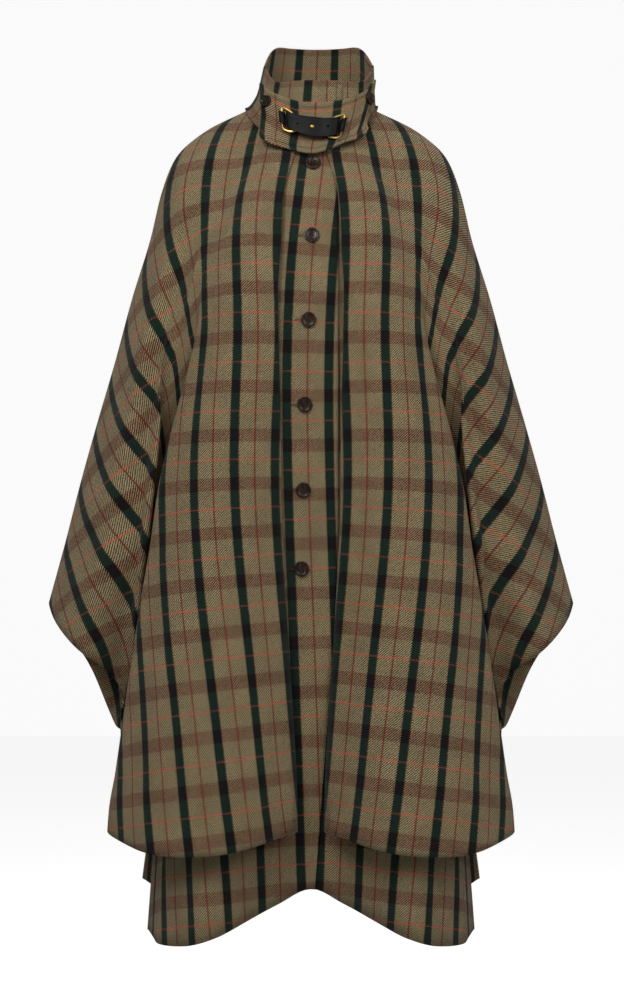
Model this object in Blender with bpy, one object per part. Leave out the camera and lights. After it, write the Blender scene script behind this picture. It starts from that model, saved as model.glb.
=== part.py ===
"""Cape coat: a wool cape with wing sleeves over a longer buttoned coat, with a stand collar.

Sizes are millimetres, brought to metres when a mesh is made. X is across, with the wearer's
right at -X, Y runs from front (-) to back (+) and Z is up from the wearer's shoulders.
Half sections are written for one side with x outward, and the other side mirrors them.
"""
import math
from collections import namedtuple

import bpy
import numpy as np
from mathutils import Vector
from mathutils.bvhtree import BVHTree

MM = 0.001
CLOTH = 2.2
COLLAR_CLOTH = 3.0
BAND_CLOTH = 2.6
SEAM = 0.3
MITRE_EASE = 0.04
MITRE_LIMIT = 2.0

NECK_HALF_WIDTH = 84.0
NECK_HALF_DEPTH = 88.0
NECK_MID_Y = 4.0
NECK_SIDE_Z = 25.0
NECK_FRONT_DROP = 70.0
NECK_BACK_RISE = 3.0
NECK_CURVE = 1.5
TIP_Y = 8.0

# One row for each ring of the cape below the neck: the front edge, the roll of the panel,
# the depth of the fold behind the roll, and the side line where the wing begins.
FrontRing = namedtuple(
    "FrontRing", "edge_x edge_y edge_z front_y roll_x roll_y roll_z fold side_x side_y side_z")
CAPE_FRONT = (
    FrontRing(35, -112, -98, -114, 112, -88, -112, 0, 126, -72, -95),
    FrontRing(39, -134, -166, -139, 134, -110, -187, 0, 148, -92, -165),
    FrontRing(43, -146, -232, -151, 143, -120, -252, 2, 162, -97, -232),
    FrontRing(42, -150, -305, -157, 161, -116, -329, 18, 184, -90, -316),
    FrontRing(40, -151, -376, -162, 182, -112, -411, 41, 203, -80, -402),
    FrontRing(39, -150, -448, -167, 199, -111, -490, 56, 211, -80, -486),
    FrontRing(38, -150, -520, -172, 210, -110, -566, 74, 219, -78, -566),
    FrontRing(35, -150, -592, -178, 223, -110, -643, 84, 228, -64, -646),
    FrontRing(31, -151, -664, -185, 235, -108, -718, 82, 241, -36, -728),
    FrontRing(25, -152, -755, -194, 251, -105, -826, 74, 259, 4, -820),
    FrontRing(21, -153, -820, -201, 258, -102, -871, 70, 258, 16, -870),
    FrontRing(18, -154, -879, -207, 266, -100, -915, 60, 256, 32, -915),
    FrontRing(17, -156, -963, -214, 271, -98, -985, 48, 253, 46, -985),
)
BackRing = namedtuple("BackRing", "mid_y mid_z roll_x roll_y roll_z fold side_x side_y side_z")
CAPE_BACK = (
    BackRing(112, -38, 112, 92, -95, 0, 124, 76, -80),
    BackRing(134, -100, 134, 112, -170, 0, 148, 94, -150),
    BackRing(145, -165, 146, 120, -240, 2, 164, 97, -216),
    BackRing(150, -240, 162, 120, -315, 12, 186, 92, -302),
    BackRing(152, -315, 180, 119, -395, 26, 205, 86, -387),
    BackRing(154, -392, 194, 119, -470, 36, 213, 84, -467),
    BackRing(157, -470, 205, 120, -548, 46, 221, 82, -547),
    BackRing(161, -548, 216, 122, -625, 54, 231, 76, -632),
    BackRing(166, -626, 226, 124, -705, 52, 243, 50, -718),
    BackRing(173, -722, 236, 126, -790, 50, 259, 4, -820),
    BackRing(180, -795, 240, 128, -850, 50, 258, 16, -870),
    BackRing(186, -865, 244, 130, -905, 40, 256, 32, -915),
    BackRing(195, -985, 246, 134, -985, 26, 253, 46, -985),
)
# One row for each ring down to the arm opening: the wing from its inner lip to the overarm seam.
WingRing = namedtuple("WingRing", "front_lip_x front_y back_lip_x back_y tip_x tip_z")
WINGS = (
    WingRing(130, -46, 128, 52, 144, -5),
    WingRing(154, -62, 154, 70, 184, -41),
    WingRing(170, -72, 171, 78, 203, -87),
    WingRing(192, -84, 193, 86, 219, -153),
    WingRing(210, -92, 212, 92, 244, -234),
    WingRing(219, -94, 221, 94, 266, -316),
    WingRing(227, -94, 230, 94, 290, -398),
    WingRing(236, -92, 241, 92, 313, -480),
    WingRing(252, -87, 256, 86, 334, -562),
    WingRing(268, -78, 274, 68, 357, -646),
)
OPENING_RING = len(WINGS)
Wing = namedtuple("Wing", "lip_y lip_rise crown_x crown_rise turn_x turn_y turn_rise")
WING_FRONT = Wing(0.5, 0.25, 0.5, 0.55, 0.9, 0.55, 0.88)
WING_BACK = Wing(0.6, 0.1, 0.5, 0.5, 0.9, 0.55, 0.86)
PANEL_LOBES = (0.36, 0.72)
LOBE_BACK_SET = 0.24
FOLD_TUCK = 0.14
FOLD_SHARE = 0.45
FOLD_INSET = 4.0
FOLD_FULL = 15.0
FRONT_HEM_Z = (-940, -962, -967, -944, -928, -922, -914)
BACK_HEM_Z = (-955, -955, -950, -936, -924, -919, -914)
FRONT_NECK_ANGLES = (14, 25, 36, 46, 52, 57, 62, 66, 74, 82, 90)
BACK_NECK_ANGLES = (180, 168, 154, 140, 131, 124, 118, 113, 105, 97, 90)
PANEL_STEPS = (2, 2, 3, 3, 1, 2)
WING_STEPS = (2, 2, 2, 2)
ROWS_TO_OPENING = 14
ROWS_TO_HEM = 4
OPENING_GAP = 2.2 * CLOTH

# One row for each ring of the coat: centre, chest lobe and outer border, which runs down the
# shoulder seam, the armhole and the side seam and ends along the side vent.
CoatRing = namedtuple("CoatRing", "mid_y mid_z lobe_x lobe_y lobe_z side_x side_y side_z")
COAT_FRONT = (
    CoatRing(-102, -88, 76, -74, -74, 128, 8, -10),
    CoatRing(-122, -150, 92, -92, -142, 160, 8, -48),
    CoatRing(-136, -215, 102, -108, -206, 142, -50, -140),
    CoatRing(-142, -285, 108, -120, -275, 134, -56, -205),
    CoatRing(-144, -350, 110, -125, -345, 148, 4, -290),
    CoatRing(-144, -420, 113, -129, -420, 155, 4, -400),
    CoatRing(-144, -520, 118, -135, -520, 165, 4, -520),
    CoatRing(-143, -610, 122, -141, -620, 175, 4, -620),
    CoatRing(-141, -720, 128, -149, -740, 188, 4, -740),
    CoatRing(-137, -830, 132, -160, -860, 202, -10, -860),
    CoatRing(-130, -940, 136, -173, -985, 213, -32, -985),
    CoatRing(-122, -1060, 140, -186, -1115, 222, -52, -1115),
)
COAT_BACK = (
    CoatRing(100, -38, 76, 76, -68, 128, 8, -10),
    CoatRing(119, -98, 92, 92, -138, 160, 8, -48),
    CoatRing(130, -165, 102, 108, -192, 144, 56, -134),
    CoatRing(135, -245, 108, 117, -262, 136, 62, -200),
    CoatRing(137, -320, 110, 119, -336, 148, 4, -290),
    CoatRing(138, -405, 113, 121, -415, 155, 4, -400),
    CoatRing(140, -510, 118, 124, -516, 165, 4, -520),
    CoatRing(142, -610, 122, 126, -620, 175, 4, -620),
    CoatRing(145, -730, 128, 129, -740, 188, 4, -740),
    CoatRing(148, -855, 134, 132, -860, 205, 10, -860),
    CoatRing(151, -975, 142, 135, -985, 226, 28, -985),
    CoatRing(153, -1085, 150, 138, -1100, 241, 44, -1100),
)
COAT_FRONT_HEM_Z = (-1019, -1019, -1040, -1080, -1091, -1083)
COAT_BACK_HEM_Z = (-1050, -1050, -1052, -1050, -1026)
COAT_FRONT_STEPS = (2, 2, 3, 3, 3)
COAT_BACK_STEPS = (3, 3, 3, 3)
COAT_ROWS = 16
COAT_NECK_ANGLES = (0, 28, 48, 70, 90)
COAT_SEAT = 0.8
COAT_FLANK = np.array([0.66, 0.36, 0.34])
PLACKET_X = 46.0
PLACKET_UNDER_LAP = CLOTH + 1.2
UNDER_LAP_ENDS = (48.0, 80.0)
LAP_X = (36.0, 36.0, 5.0)
LAP_Z = (0.0, -610.0, -1020.0)
UNDER_LAP_SHORT = 6.0

# The collar rises from a flange on the cape to its rim.
COLLAR_FLANGE = 5.0
COLLAR_FLANGE_LIFT = 0.3
COLLAR_RIM_X = 9.0
COLLAR_RIM_HALF_WIDTH = 73.0
COLLAR_RIM_HALF_DEPTH = 70.0
COLLAR_RIM_Y = 2.0
COLLAR_RIM_Z = (54.0, 84.0, 117.0)
COLLAR_RIM_LEVEL = 0.74
COLLAR_WAIST = (0.26, 0.5)
COLLAR_HEIGHTS = (0.0, 0.16, 0.4, 1.0)
COLLAR_SEAT = 0.45
COLLAR_FOOT = 0.12
COLLAR_FOOT_FROM = (0.35, 0.75)
COLLAR_TURN = (20.0, 402.0)
COLLAR_LAP = COLLAR_CLOTH + 1.2
COLLAR_LAP_FADE = (70.0, 135.0)
COLLAR_COLUMNS = 44
COLLAR_ROWS = 6

BAND_TURN_LOW = 46.0
BAND_TURN_HIGH = 72.0
BAND_MIDDLE = 3.0
BAND_STAND_OFF = 0.8
BAND_LAP_SHARE = 1.12
BAND_OVER_LAP = (4.0, 17.0)
BAND_END_FLARE = (8.0, 2.5)
BAND_FLARE_FROM = 0.4
BAND_CORNER_RUN = 17.0
BAND_COLUMNS = 24
BAND_ROWS = 8
BandEdge = namedtuple("BandEdge", "share low high")
BAND_EDGES = (
    BandEdge(0.0, 0.02, 0.77),
    BandEdge(0.3, 0.04, 0.77),
    BandEdge(0.5, 0.04, 0.79),
    BandEdge(0.75, 0.0, 0.84),
    BandEdge(0.95, 0.0, 0.88),
    BandEdge(1.0, 0.05, 0.84),
)
STRAP_SHARE = -0.09
STRAP_HEIGHT = 0.47
STRAP_HALF_LENGTH = 33.5
STRAP_TUCK = 12.0
STRAP_HALF_WIDTH = 11.0
STRAP_TILT = -0.1
LEATHER = 2.0
WIRE = 1.5
RING_PLAY = 0.5
STRAP_LIFT = WIRE + RING_PLAY + LEATHER + 0.6
RING_BAR = 39.0
RING_HALF_HEIGHT = 14.0
RING_DEPTH = 24.0
LOOP_HALF_WIDTH = 8.5
STUD_RADIUS = 3.0
STUD_RISE = 2.0

BUTTON_RADIUS = 10.0
BUTTON_THICK = 3.6
BUTTON_RIM = 0.8
BUTTON_SIDES = 18
BUTTON_RAY = 400.0
CoatButton = namedtuple("CoatButton", "x z")
COAT_BUTTONS = (
    CoatButton(3, -60),
    CoatButton(1, -159),
    CoatButton(-3, -271),
    CoatButton(-8, -382),
    CoatButton(-10, -494),
    CoatButton(-12, -597),
)
BAND_BUTTON_RADIUS = 8.0
BAND_BUTTON_SHARE = 0.84
BAND_BUTTON_HEIGHT = 0.66

COLOURS = {
    "checked wool": (0.24, 0.20, 0.11, 1.0),
    "black leather": (0.012, 0.010, 0.011, 1.0),
    "brass": (0.70, 0.46, 0.14, 1.0),
    "horn": (0.05, 0.025, 0.014, 1.0),
}


def blend(start, end, share):
    return start + (np.asarray(end, float) - start) * share


def ease(low, high, value):
    share = np.clip((np.asarray(value, float) - low) / (high - low), 0.0, 1.0)
    return share * share * (3.0 - 2.0 * share)


def unit(vectors):
    return vectors / np.linalg.norm(vectors, axis=-1, keepdims=True)


def along_rings(rings, at):
    """Positions on a smooth run through the rings, with no overshoot; at counts in rings."""
    rings = np.asarray(rings, float)
    rises = np.diff(rings, axis=0)
    slopes = np.vstack([rises[:1], np.zeros_like(rises[1:]), rises[-1:]])
    joint = rises[:-1] * rises[1:]
    total = np.where(joint > 0, rises[:-1] + rises[1:], 1.0)
    slopes[1:-1] = np.where(joint > 0, 2 * joint / total, 0.0)
    first = np.clip(np.floor(at).astype(int), 0, len(rings) - 2)
    share = np.asarray(at, float) - first
    share = share.reshape(share.shape + (1,) * (rings.ndim - 1))
    square, cube = share ** 2, share ** 3
    return ((2 * cube - 3 * square + 1) * rings[first] + (cube - 2 * square + share) * slopes[first]
            + (3 * square - 2 * cube) * rings[first + 1] + (cube - square) * slopes[first + 1])


def through(points, steps, before, after):
    """A smooth curve through points, with steps spans between each two of them."""
    run = np.vstack([before, points, after])
    spans = np.sqrt(np.maximum(np.linalg.norm(np.diff(run, axis=0), axis=1), 0.01))[:, None]
    chords = np.diff(run, axis=0) / spans
    slopes = (chords[:-1] * spans[1:] + chords[1:] * spans[:-1]) / (spans[:-1] + spans[1:])
    curve = []
    for index, count in enumerate(steps):
        share = (np.arange(count) / count)[:, None]
        square, cube = share ** 2, share ** 3
        span = spans[index + 1]
        curve.append((2 * cube - 3 * square + 1) * points[index]
                     + (cube - 2 * square + share) * span * slopes[index]
                     + (3 * square - 2 * cube) * points[index + 1]
                     + (cube - square) * span * slopes[index + 1])
    return np.vstack(curve + [points[-1:]])


def neck_way_out(turn):
    """The way out from the cape at the neckline, at a turn in degrees from the front."""
    side, front = math.sin(math.radians(turn)), math.cos(math.radians(turn))
    rise = 0.45 if front > 0 else 0.33
    return unit(np.array([0.4 * side, -0.9 * front, rise + (0.92 - rise) * side * side]))


def neck_point(turn, moved=0.0, down=0.0):
    """A point of the neckline at a turn in degrees from the front, moved off or down the cape."""
    side, front = math.sin(math.radians(turn)), math.cos(math.radians(turn))
    lift = -NECK_FRONT_DROP if front > 0 else NECK_BACK_RISE
    point = np.array([NECK_HALF_WIDTH * side, NECK_MID_Y - NECK_HALF_DEPTH * front,
                      NECK_SIDE_Z + lift * abs(front) ** NECK_CURVE])
    out = neck_way_out(turn)
    across = np.array([front, side * NECK_HALF_DEPTH / NECK_HALF_WIDTH, 0.0])
    fall = unit(np.cross(out, unit(across - out * across.dot(out))))
    fall = fall if fall[2] < 0 else -fall
    return point + out * moved + fall * down


def wing_points(side, lip_x, crown_y, tip_x, tip_z, shape):
    tip = np.array([tip_x, TIP_Y, tip_z])
    lip = np.array([lip_x, blend(side[1], crown_y, shape.lip_y), blend(side[2], tip_z, shape.lip_rise)])
    crown = np.array([blend(side[0], tip_x, shape.crown_x), crown_y,
                      blend(side[2], tip_z, shape.crown_rise)])
    turn = np.array([blend(side[0], tip_x, shape.turn_x), blend(crown_y, TIP_Y, shape.turn_y),
                     blend(side[2], tip_z, shape.turn_rise)])
    return [lip, crown, turn, tip]


def panel_points(start, front_y, roll, fold, side):
    """Panel from its middle edge over two lobes and the roll, into the fold and out to the side."""
    depths = (front_y, blend(front_y, roll[1], LOBE_BACK_SET))
    lobes = [np.array([blend(start[0], roll[0], share), depth, blend(start[2], roll[2], share)])
             for share, depth in zip(PANEL_LOBES, depths)]
    inward = 1.0 if roll[1] < 0 else -1.0
    near = np.array([min(roll[0], side[0]) - FOLD_TUCK * fold - FOLD_INSET, roll[1] + inward * fold,
                     blend(roll[2], side[2], 0.35)])
    far = near + np.array([FOLD_SHARE * (side[0] - near[0]), 0.0, 0.3 * (side[2] - roll[2])])
    made = min(1.0, fold / FOLD_FULL)
    near = blend(blend(roll, side, 0.35), near, made)
    far = blend(blend(roll, side, 0.7), far, made)
    return [start] + lobes + [roll, near, far, side]


def cape_rings(back):
    """Control points of the half rings, from the neckline to below the hem."""
    angles = BACK_NECK_ANGLES if back else FRONT_NECK_ANGLES
    rings = [[neck_point(angle) for angle in angles]]
    for index, row in enumerate(CAPE_BACK if back else CAPE_FRONT):
        if back:
            start, front_y = np.array([0.0, row.mid_y, row.mid_z]), row.mid_y - 1.0
        else:
            start, front_y = np.array([row.edge_x, row.edge_y, row.edge_z]), row.front_y
        roll = np.array([row.roll_x, row.roll_y, row.roll_z])
        side = np.array([row.side_x, row.side_y, row.side_z])
        points = panel_points(start, front_y, roll, row.fold, side)
        if index < OPENING_RING:
            wing = WINGS[index]
            lip_x, crown_y = (wing.back_lip_x, wing.back_y) if back else (wing.front_lip_x, wing.front_y)
            points += wing_points(side, lip_x, crown_y, wing.tip_x, wing.tip_z,
                                  WING_BACK if back else WING_FRONT)
        rings.append(points)
    rings[0][-1][1] = TIP_Y
    return rings


def mirrored_over(point, axis, middle):
    other = point.copy()
    other[axis] = 2 * middle - other[axis]
    return other


def cape_half(back):
    """Rows of half-ring points; rows below the arm opening stop at the side line."""
    rings = cape_rings(back)
    upper = np.array(rings[:OPENING_RING + 1])
    panel_count = len(PANEL_STEPS) + 1
    lower = np.array([ring[:panel_count] for ring in rings[OPENING_RING:]])
    hem = BACK_HEM_Z if back else FRONT_HEM_Z
    rows = []
    for at in np.linspace(0, OPENING_RING, ROWS_TO_OPENING + 1):
        points = along_rings(upper, at)
        before = mirrored_over(points[1], 0, 0.0) if back else 2 * points[0] - points[1]
        after = mirrored_over(points[-2], 1, TIP_Y)
        rows.append(through(points, PANEL_STEPS + WING_STEPS, before, after))
    ends = []
    for column, hem_z in enumerate(hem):
        fine = np.linspace(0, len(lower) - 1, 40)
        heights = along_rings(lower[:, column], fine)[:, 2]
        ends.append(np.interp(-hem_z, -heights, fine))
    for share in np.linspace(0, 1, ROWS_TO_HEM + 1)[1:]:
        points = np.array([along_rings(lower[:, column], end * share) for column, end in enumerate(ends)])
        before = mirrored_over(points[1], 0, 0.0) if back else 2 * points[0] - points[1]
        after = mirrored_over(points[-2], 1, points[-1][1])
        short = through(points, PANEL_STEPS, before, after)
        rows.append(np.vstack([short, np.full((sum(WING_STEPS), 3), np.nan)]))
    return np.array(rows)


def coat_half(back):
    """Rows of the coat's half rings from the neckline to the hem."""
    table = COAT_BACK if back else COAT_FRONT
    turns = [180 - turn for turn in COAT_NECK_ANGLES] if back else COAT_NECK_ANGLES
    sunk = -(CLOTH + COAT_SEAT)
    rings = [[neck_point(turn, sunk) for turn in turns]]
    rings[0][-1][1] = TIP_Y
    for row in table:
        middle = np.array([0.0, row.mid_y, row.mid_z])
        lobe = np.array([row.lobe_x, row.lobe_y, row.lobe_z])
        side = np.array([row.side_x, row.side_y, row.side_z])
        share = PLACKET_X / row.lobe_x
        placket = np.array([PLACKET_X, blend(row.mid_y, row.lobe_y, 0.6 * share * share),
                            blend(row.mid_z, row.lobe_z, share)])
        flank = blend(lobe, side, COAT_FLANK)
        rings.append([middle, placket, lobe, flank, side])
    rings = np.array(rings)
    hem = COAT_BACK_HEM_Z if back else COAT_FRONT_HEM_Z[1:]
    steps = COAT_BACK_STEPS if back else COAT_FRONT_STEPS[1:]
    ends = []
    for column, hem_z in enumerate(hem):
        fine = np.linspace(4, len(rings) - 1, 80)
        ends.append(np.interp(-hem_z, -along_rings(rings[:, column], fine)[:, 2], fine))
    rows = []
    for share in np.linspace(0, 1, COAT_ROWS + 1):
        points = np.array([along_rings(rings[:, column], end * share) for column, end in enumerate(ends)])
        before = mirrored_over(points[1], 0, 0.0)
        after = 2 * points[-1] - points[-2]
        rows.append(through(points, steps, before, after))
    return np.array(rows)


def coat_front(over):
    """A coat front with the lap across the middle; the under one lies behind the other."""
    half = coat_half(False)
    lap_spans = COAT_FRONT_STEPS[0]
    rows = []
    for row in half:
        lap = np.interp(-row[0, 2], [-z for z in LAP_Z], LAP_X)
        lap = lap if over else lap - UNDER_LAP_SHORT * min(1.0, lap / LAP_X[0])
        reach = -lap * (1 - np.arange(lap_spans) / lap_spans)
        crossed = [np.array([x, np.interp(-x, row[:, 0], row[:, 1]), np.interp(-x, row[:, 0], row[:, 2])])
                   for x in reach]
        rows.append(np.vstack([crossed, row]))
    rows = np.array(rows)
    if not over:
        back_set = PLACKET_UNDER_LAP * (1 - ease(*UNDER_LAP_ENDS, rows[:, :, 0]))
        rows[:, :, 1] += back_set
    return rows


def collar_lap(turn):
    return COLLAR_LAP * (1 - ease(*COLLAR_LAP_FADE, turn))


def collar_point(turn, height, moved=0.0, flange_run=COLLAR_FLANGE):
    """A point of the collar's outer face; height runs from the flange's edge, 0, to the rim, 1."""
    around = turn % 360
    side, front = math.sin(math.radians(around)), math.cos(math.radians(around))
    level = np.array([side, -front, 0.0])
    seat = COLLAR_CLOTH + COLLAR_SEAT
    flange = neck_point(around, seat + COLLAR_FLANGE_LIFT + moved, flange_run)
    base = neck_point(around, seat) + moved * unit(neck_way_out(around) + level)
    low, mid, high = COLLAR_RIM_Z
    rim_z = blend(mid, low if front > 0 else high, ease(0.0, COLLAR_RIM_LEVEL, abs(front)))
    rim = np.array([COLLAR_RIM_X + COLLAR_RIM_HALF_WIDTH * side,
                    COLLAR_RIM_Y - COLLAR_RIM_HALF_DEPTH * front, rim_z]) + moved * level
    waist_at, waist_in = COLLAR_WAIST
    waist = blend(base, rim, waist_at)
    waist[:2] = blend(base[:2], rim[:2], waist_in)
    points = np.array([flange, base, waist, rim])
    return along_rings(points, np.interp(height, COLLAR_HEIGHTS, range(4)))


def collar_grid():
    turns = np.linspace(*COLLAR_TURN, COLLAR_COLUMNS + 1)
    feet = COLLAR_FOOT * ease(*COLLAR_FOOT_FROM, np.cos(np.radians(turns)))
    return np.array([[collar_point(turn, blend(foot, 1.0, rise), collar_lap(turn))
                      for turn, foot in zip(turns, feet)] for rise in np.linspace(0, 1, COLLAR_ROWS + 1)])


def band_point(share, height, moved=0.0):
    """A point of the throat band's outer face; share runs from -1 at one end to 1 at the other."""
    turn = share * blend(BAND_TURN_LOW, BAND_TURN_HIGH, height) + BAND_MIDDLE
    flare = BAND_END_FLARE[int(share > 0)] * ease(BAND_FLARE_FROM, 1.0, abs(share))
    over = BAND_LAP_SHARE * collar_lap(turn) * ease(*BAND_OVER_LAP, turn)
    run = blend(COLLAR_FLANGE, BAND_CORNER_RUN, ease(BAND_FLARE_FROM, 1.0, abs(share)))
    return collar_point(turn, height, BAND_CLOTH + BAND_STAND_OFF + flare + over + moved, run)


def band_grid():
    shares = [row.share for row in BAND_EDGES]
    rows = []
    for rise in np.linspace(0, 1, BAND_ROWS + 1):
        row = []
        for share in np.linspace(-1, 1, BAND_COLUMNS + 1):
            low = np.interp(abs(share), shares, [edge.low for edge in BAND_EDGES])
            high = np.interp(abs(share), shares, [edge.high for edge in BAND_EDGES])
            row.append(band_point(share, blend(low, high, rise)))
        rows.append(row)
    return np.array(rows)


def on_band(along, up, out):
    """A place on the band by millimetres along it, up it and out from it, from the strap's middle."""
    middle = band_point(STRAP_SHARE, STRAP_HEIGHT)
    per_share = np.linalg.norm(band_point(STRAP_SHARE + 0.02, STRAP_HEIGHT) - middle) / 0.02
    per_rise = np.linalg.norm(band_point(STRAP_SHARE, STRAP_HEIGHT + 0.02) - middle) / 0.02
    share = STRAP_SHARE + along / per_share
    height = STRAP_HEIGHT + (up + STRAP_TILT * along) / per_rise
    return band_point(share, height, out)


def add_object(name, points, faces, material_name):
    mesh = bpy.data.meshes.new(name)
    mesh.from_pydata([tuple(np.asarray(point) * MM) for point in points], [], faces)
    mesh.validate()
    mesh.update()
    item = bpy.data.objects.new(name, mesh)
    bpy.context.collection.objects.link(item)
    material = bpy.data.materials.new(name + " " + material_name)
    material.use_nodes = True
    material.node_tree.nodes["Principled BSDF"].inputs["Base Color"].default_value = COLOURS[material_name]
    mesh.materials.append(material)
    return item


def split(quad, points):
    """Two triangles of a quad, cut along its shorter diagonal."""
    a, b, c, d = quad
    if np.linalg.norm(points[a] - points[c]) <= np.linalg.norm(points[b] - points[d]):
        return [[a, b, c], [a, c, d]]
    return [[a, b, d], [b, c, d]]


def cloth_wall(name, grid, wall, flat=(), outward=1, mitre=MITRE_LIMIT):
    """A closed cloth wall under a grid of outer points; flat holds (rows, columns, axis) at seams."""
    grid = np.asarray(grid, float)
    rows, columns = grid.shape[:2]
    index = np.full((rows, columns), -1)
    real = ~np.isnan(grid[:, :, 0])
    index[real] = np.arange(real.sum())
    outer = grid[real]
    quads = []
    for row in range(rows - 1):
        for column in range(columns - 1):
            quad = [index[row, column], index[row, column + 1],
                    index[row + 1, column + 1], index[row + 1, column]]
            if min(quad) >= 0:
                quads.append(quad if outward > 0 else quad[::-1])
    count = len(outer)
    spread = np.tile(MITRE_EASE * np.eye(3), (count, 1, 1))
    normals = np.zeros_like(outer)
    for quad in quads:
        corners = outer[quad]
        way = unit(np.cross(corners[2] - corners[0], corners[3] - corners[1]))
        spread[quad] += np.outer(way, way)
        normals[quad] += way
    step = np.linalg.solve(spread, normals[:, :, None])[:, :, 0]
    for seam_rows, seam_columns, axis in flat:
        chosen = index[seam_rows, seam_columns].ravel()
        chosen = chosen[chosen >= 0]
        step[chosen, axis] = 0.0
        step[chosen] = unit(step[chosen])
    step *= wall * np.minimum(1.0, mitre / np.linalg.norm(step, axis=1, keepdims=True))
    inner = outer - step
    ways = {(quad[k], quad[(k + 1) % 4]) for quad in quads for k in range(4)}
    pieces = [piece for quad in quads for piece in split(quad, outer)]
    faces = pieces + [[corner + count for corner in piece[::-1]] for piece in pieces]
    faces += [[end, start, start + count, end + count] for start, end in ways if (end, start) not in ways]
    return add_object(name, np.vstack([outer, inner]), faces, "checked wool")


def mirror(grid):
    return grid * np.array([-1.0, 1.0, 1.0])


def seam_gap(grid, columns, step):
    moved = grid.copy()
    moved[:, columns, 1] += step
    return moved


def build_cape():
    side = sum(PANEL_STEPS)
    tip = side + sum(WING_STEPS)
    below = slice(ROWS_TO_OPENING + 1, None)
    front = seam_gap(cape_half(False), tip, -SEAM / 2)
    front[below, side, 1] -= SEAM / 2
    front[ROWS_TO_OPENING, side, 1] -= OPENING_GAP
    seams = ((slice(None), tip, 1), (below, side, 1))
    cloth_wall("cape_front_left", front, CLOTH, seams, outward=-1)
    cloth_wall("cape_front_right", mirror(front), CLOTH, seams)
    half = seam_gap(cape_half(True), tip, SEAM / 2)
    half[below, side, 1] += SEAM / 2
    half[ROWS_TO_OPENING, side, 1] += OPENING_GAP
    whole = np.concatenate([mirror(half)[:, :0:-1], half], axis=1)
    seams = tuple((rows, column, 1) for rows, place in ((slice(None), tip), (below, side))
                  for column in (tip - place, tip + place))
    cloth_wall("cape_back", whole, CLOTH, seams)


def build_coat():
    last = sum(COAT_FRONT_STEPS)
    seams = ((slice(None), last, 1),)
    over = seam_gap(coat_front(True), last, -SEAM / 2)
    under = seam_gap(coat_front(False), last, -SEAM / 2)
    placket = cloth_wall("coat_front_right", mirror(over), CLOTH, seams)
    cloth_wall("coat_front_left", under, CLOTH, seams, outward=-1)
    half = seam_gap(coat_half(True), sum(COAT_BACK_STEPS), SEAM / 2)
    whole = np.concatenate([mirror(half)[:, :0:-1], half], axis=1)
    seams = ((slice(None), 0, 1), (slice(None), whole.shape[1] - 1, 1))
    cloth_wall("coat_back", whole, CLOTH, seams)
    return placket


def swept(name, sections, material_name, closed=False):
    """A solid from a run of like closed sections, capped unless the run closes on itself."""
    sections = np.asarray(sections, float)
    count, sides = sections.shape[:2]
    faces = []
    for ring in range(count if closed else count - 1):
        here, there = ring * sides, (ring + 1) % count * sides
        faces += [[here + k, here + (k + 1) % sides, there + (k + 1) % sides, there + k]
                  for k in range(sides)]
    if not closed:
        faces += [list(range(sides))[::-1], [(count - 1) * sides + k for k in range(sides)]]
    return add_object(name, sections.reshape(-1, 3), faces, material_name)


def face_outward(item):
    """Turns every face the other way where the closed mesh came out inside out."""
    mesh = item.data
    mesh.calc_loop_triangles()
    volume = 0.0
    for triangle in mesh.loop_triangles:
        a, b, c = (mesh.vertices[k].co for k in triangle.vertices)
        volume += a.dot(b.cross(c))
    if volume < 0:
        mesh.flip_normals()


def build_button(name, under, start, way, radius):
    """A turned button with a raised rim, seated on the cloth that the way in from start meets."""
    tree = BVHTree.FromObject(under, bpy.context.evaluated_depsgraph_get())
    hit, normal = tree.ray_cast(Vector(start * MM), Vector(way))[:2]
    middle, out = np.array(hit) / MM, unit(np.array(normal))
    across = unit(np.cross(out, np.array([0.0, 0.0, 1.0])))
    up = np.cross(across, out)
    turns = np.linspace(0, math.tau, BUTTON_SIDES, endpoint=False)
    spokes = [math.cos(turn) * across + math.sin(turn) * up for turn in turns]
    lift = 0.0
    for spoke in spokes:
        for reach in (0.4 * radius, 0.8 * radius, radius):
            place = tree.ray_cast(Vector((middle + spoke * reach + out * radius) * MM), Vector(-out))[0]
            if place is not None:
                lift = max(lift, (np.array(place) / MM - middle).dot(out))
    profile = ((radius * 0.8, 0.0), (radius, BUTTON_THICK * 0.5), (radius * 0.9, BUTTON_THICK),
               (radius * 0.68, BUTTON_THICK), (radius * 0.55, BUTTON_THICK - BUTTON_RIM))
    sections = [[middle + out * (SEAM + lift + rise) + reach * spoke for spoke in spokes]
                for reach, rise in profile]
    face_outward(swept(name, sections, "horn"))


def build_coat_buttons(placket):
    for number, button in enumerate(COAT_BUTTONS, 1):
        start = np.array([button.x, -BUTTON_RAY, button.z])
        build_button("coat_button_%d" % number, placket, start, (0.0, 1.0, 0.0), BUTTON_RADIUS)


def build_band_buttons(band):
    for side, name in ((-1, "band_button_right"), (1, "band_button_left")):
        start = band_point(side * BAND_BUTTON_SHARE, BAND_BUTTON_HEIGHT, BUTTON_RAY / 20)
        way = band_point(side * BAND_BUTTON_SHARE, BAND_BUTTON_HEIGHT) - start
        build_button(name, band, start, tuple(unit(way)), BAND_BUTTON_RADIUS)


def turned_end(middle, radius, way):
    """Half circle of leather at a strap's end, from its top to its underside."""
    turns = np.linspace(math.pi / 2, -math.pi / 2, 7)
    return [(middle + way * radius * math.cos(turn), STRAP_LIFT + radius * math.sin(turn)) for turn in turns]


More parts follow.
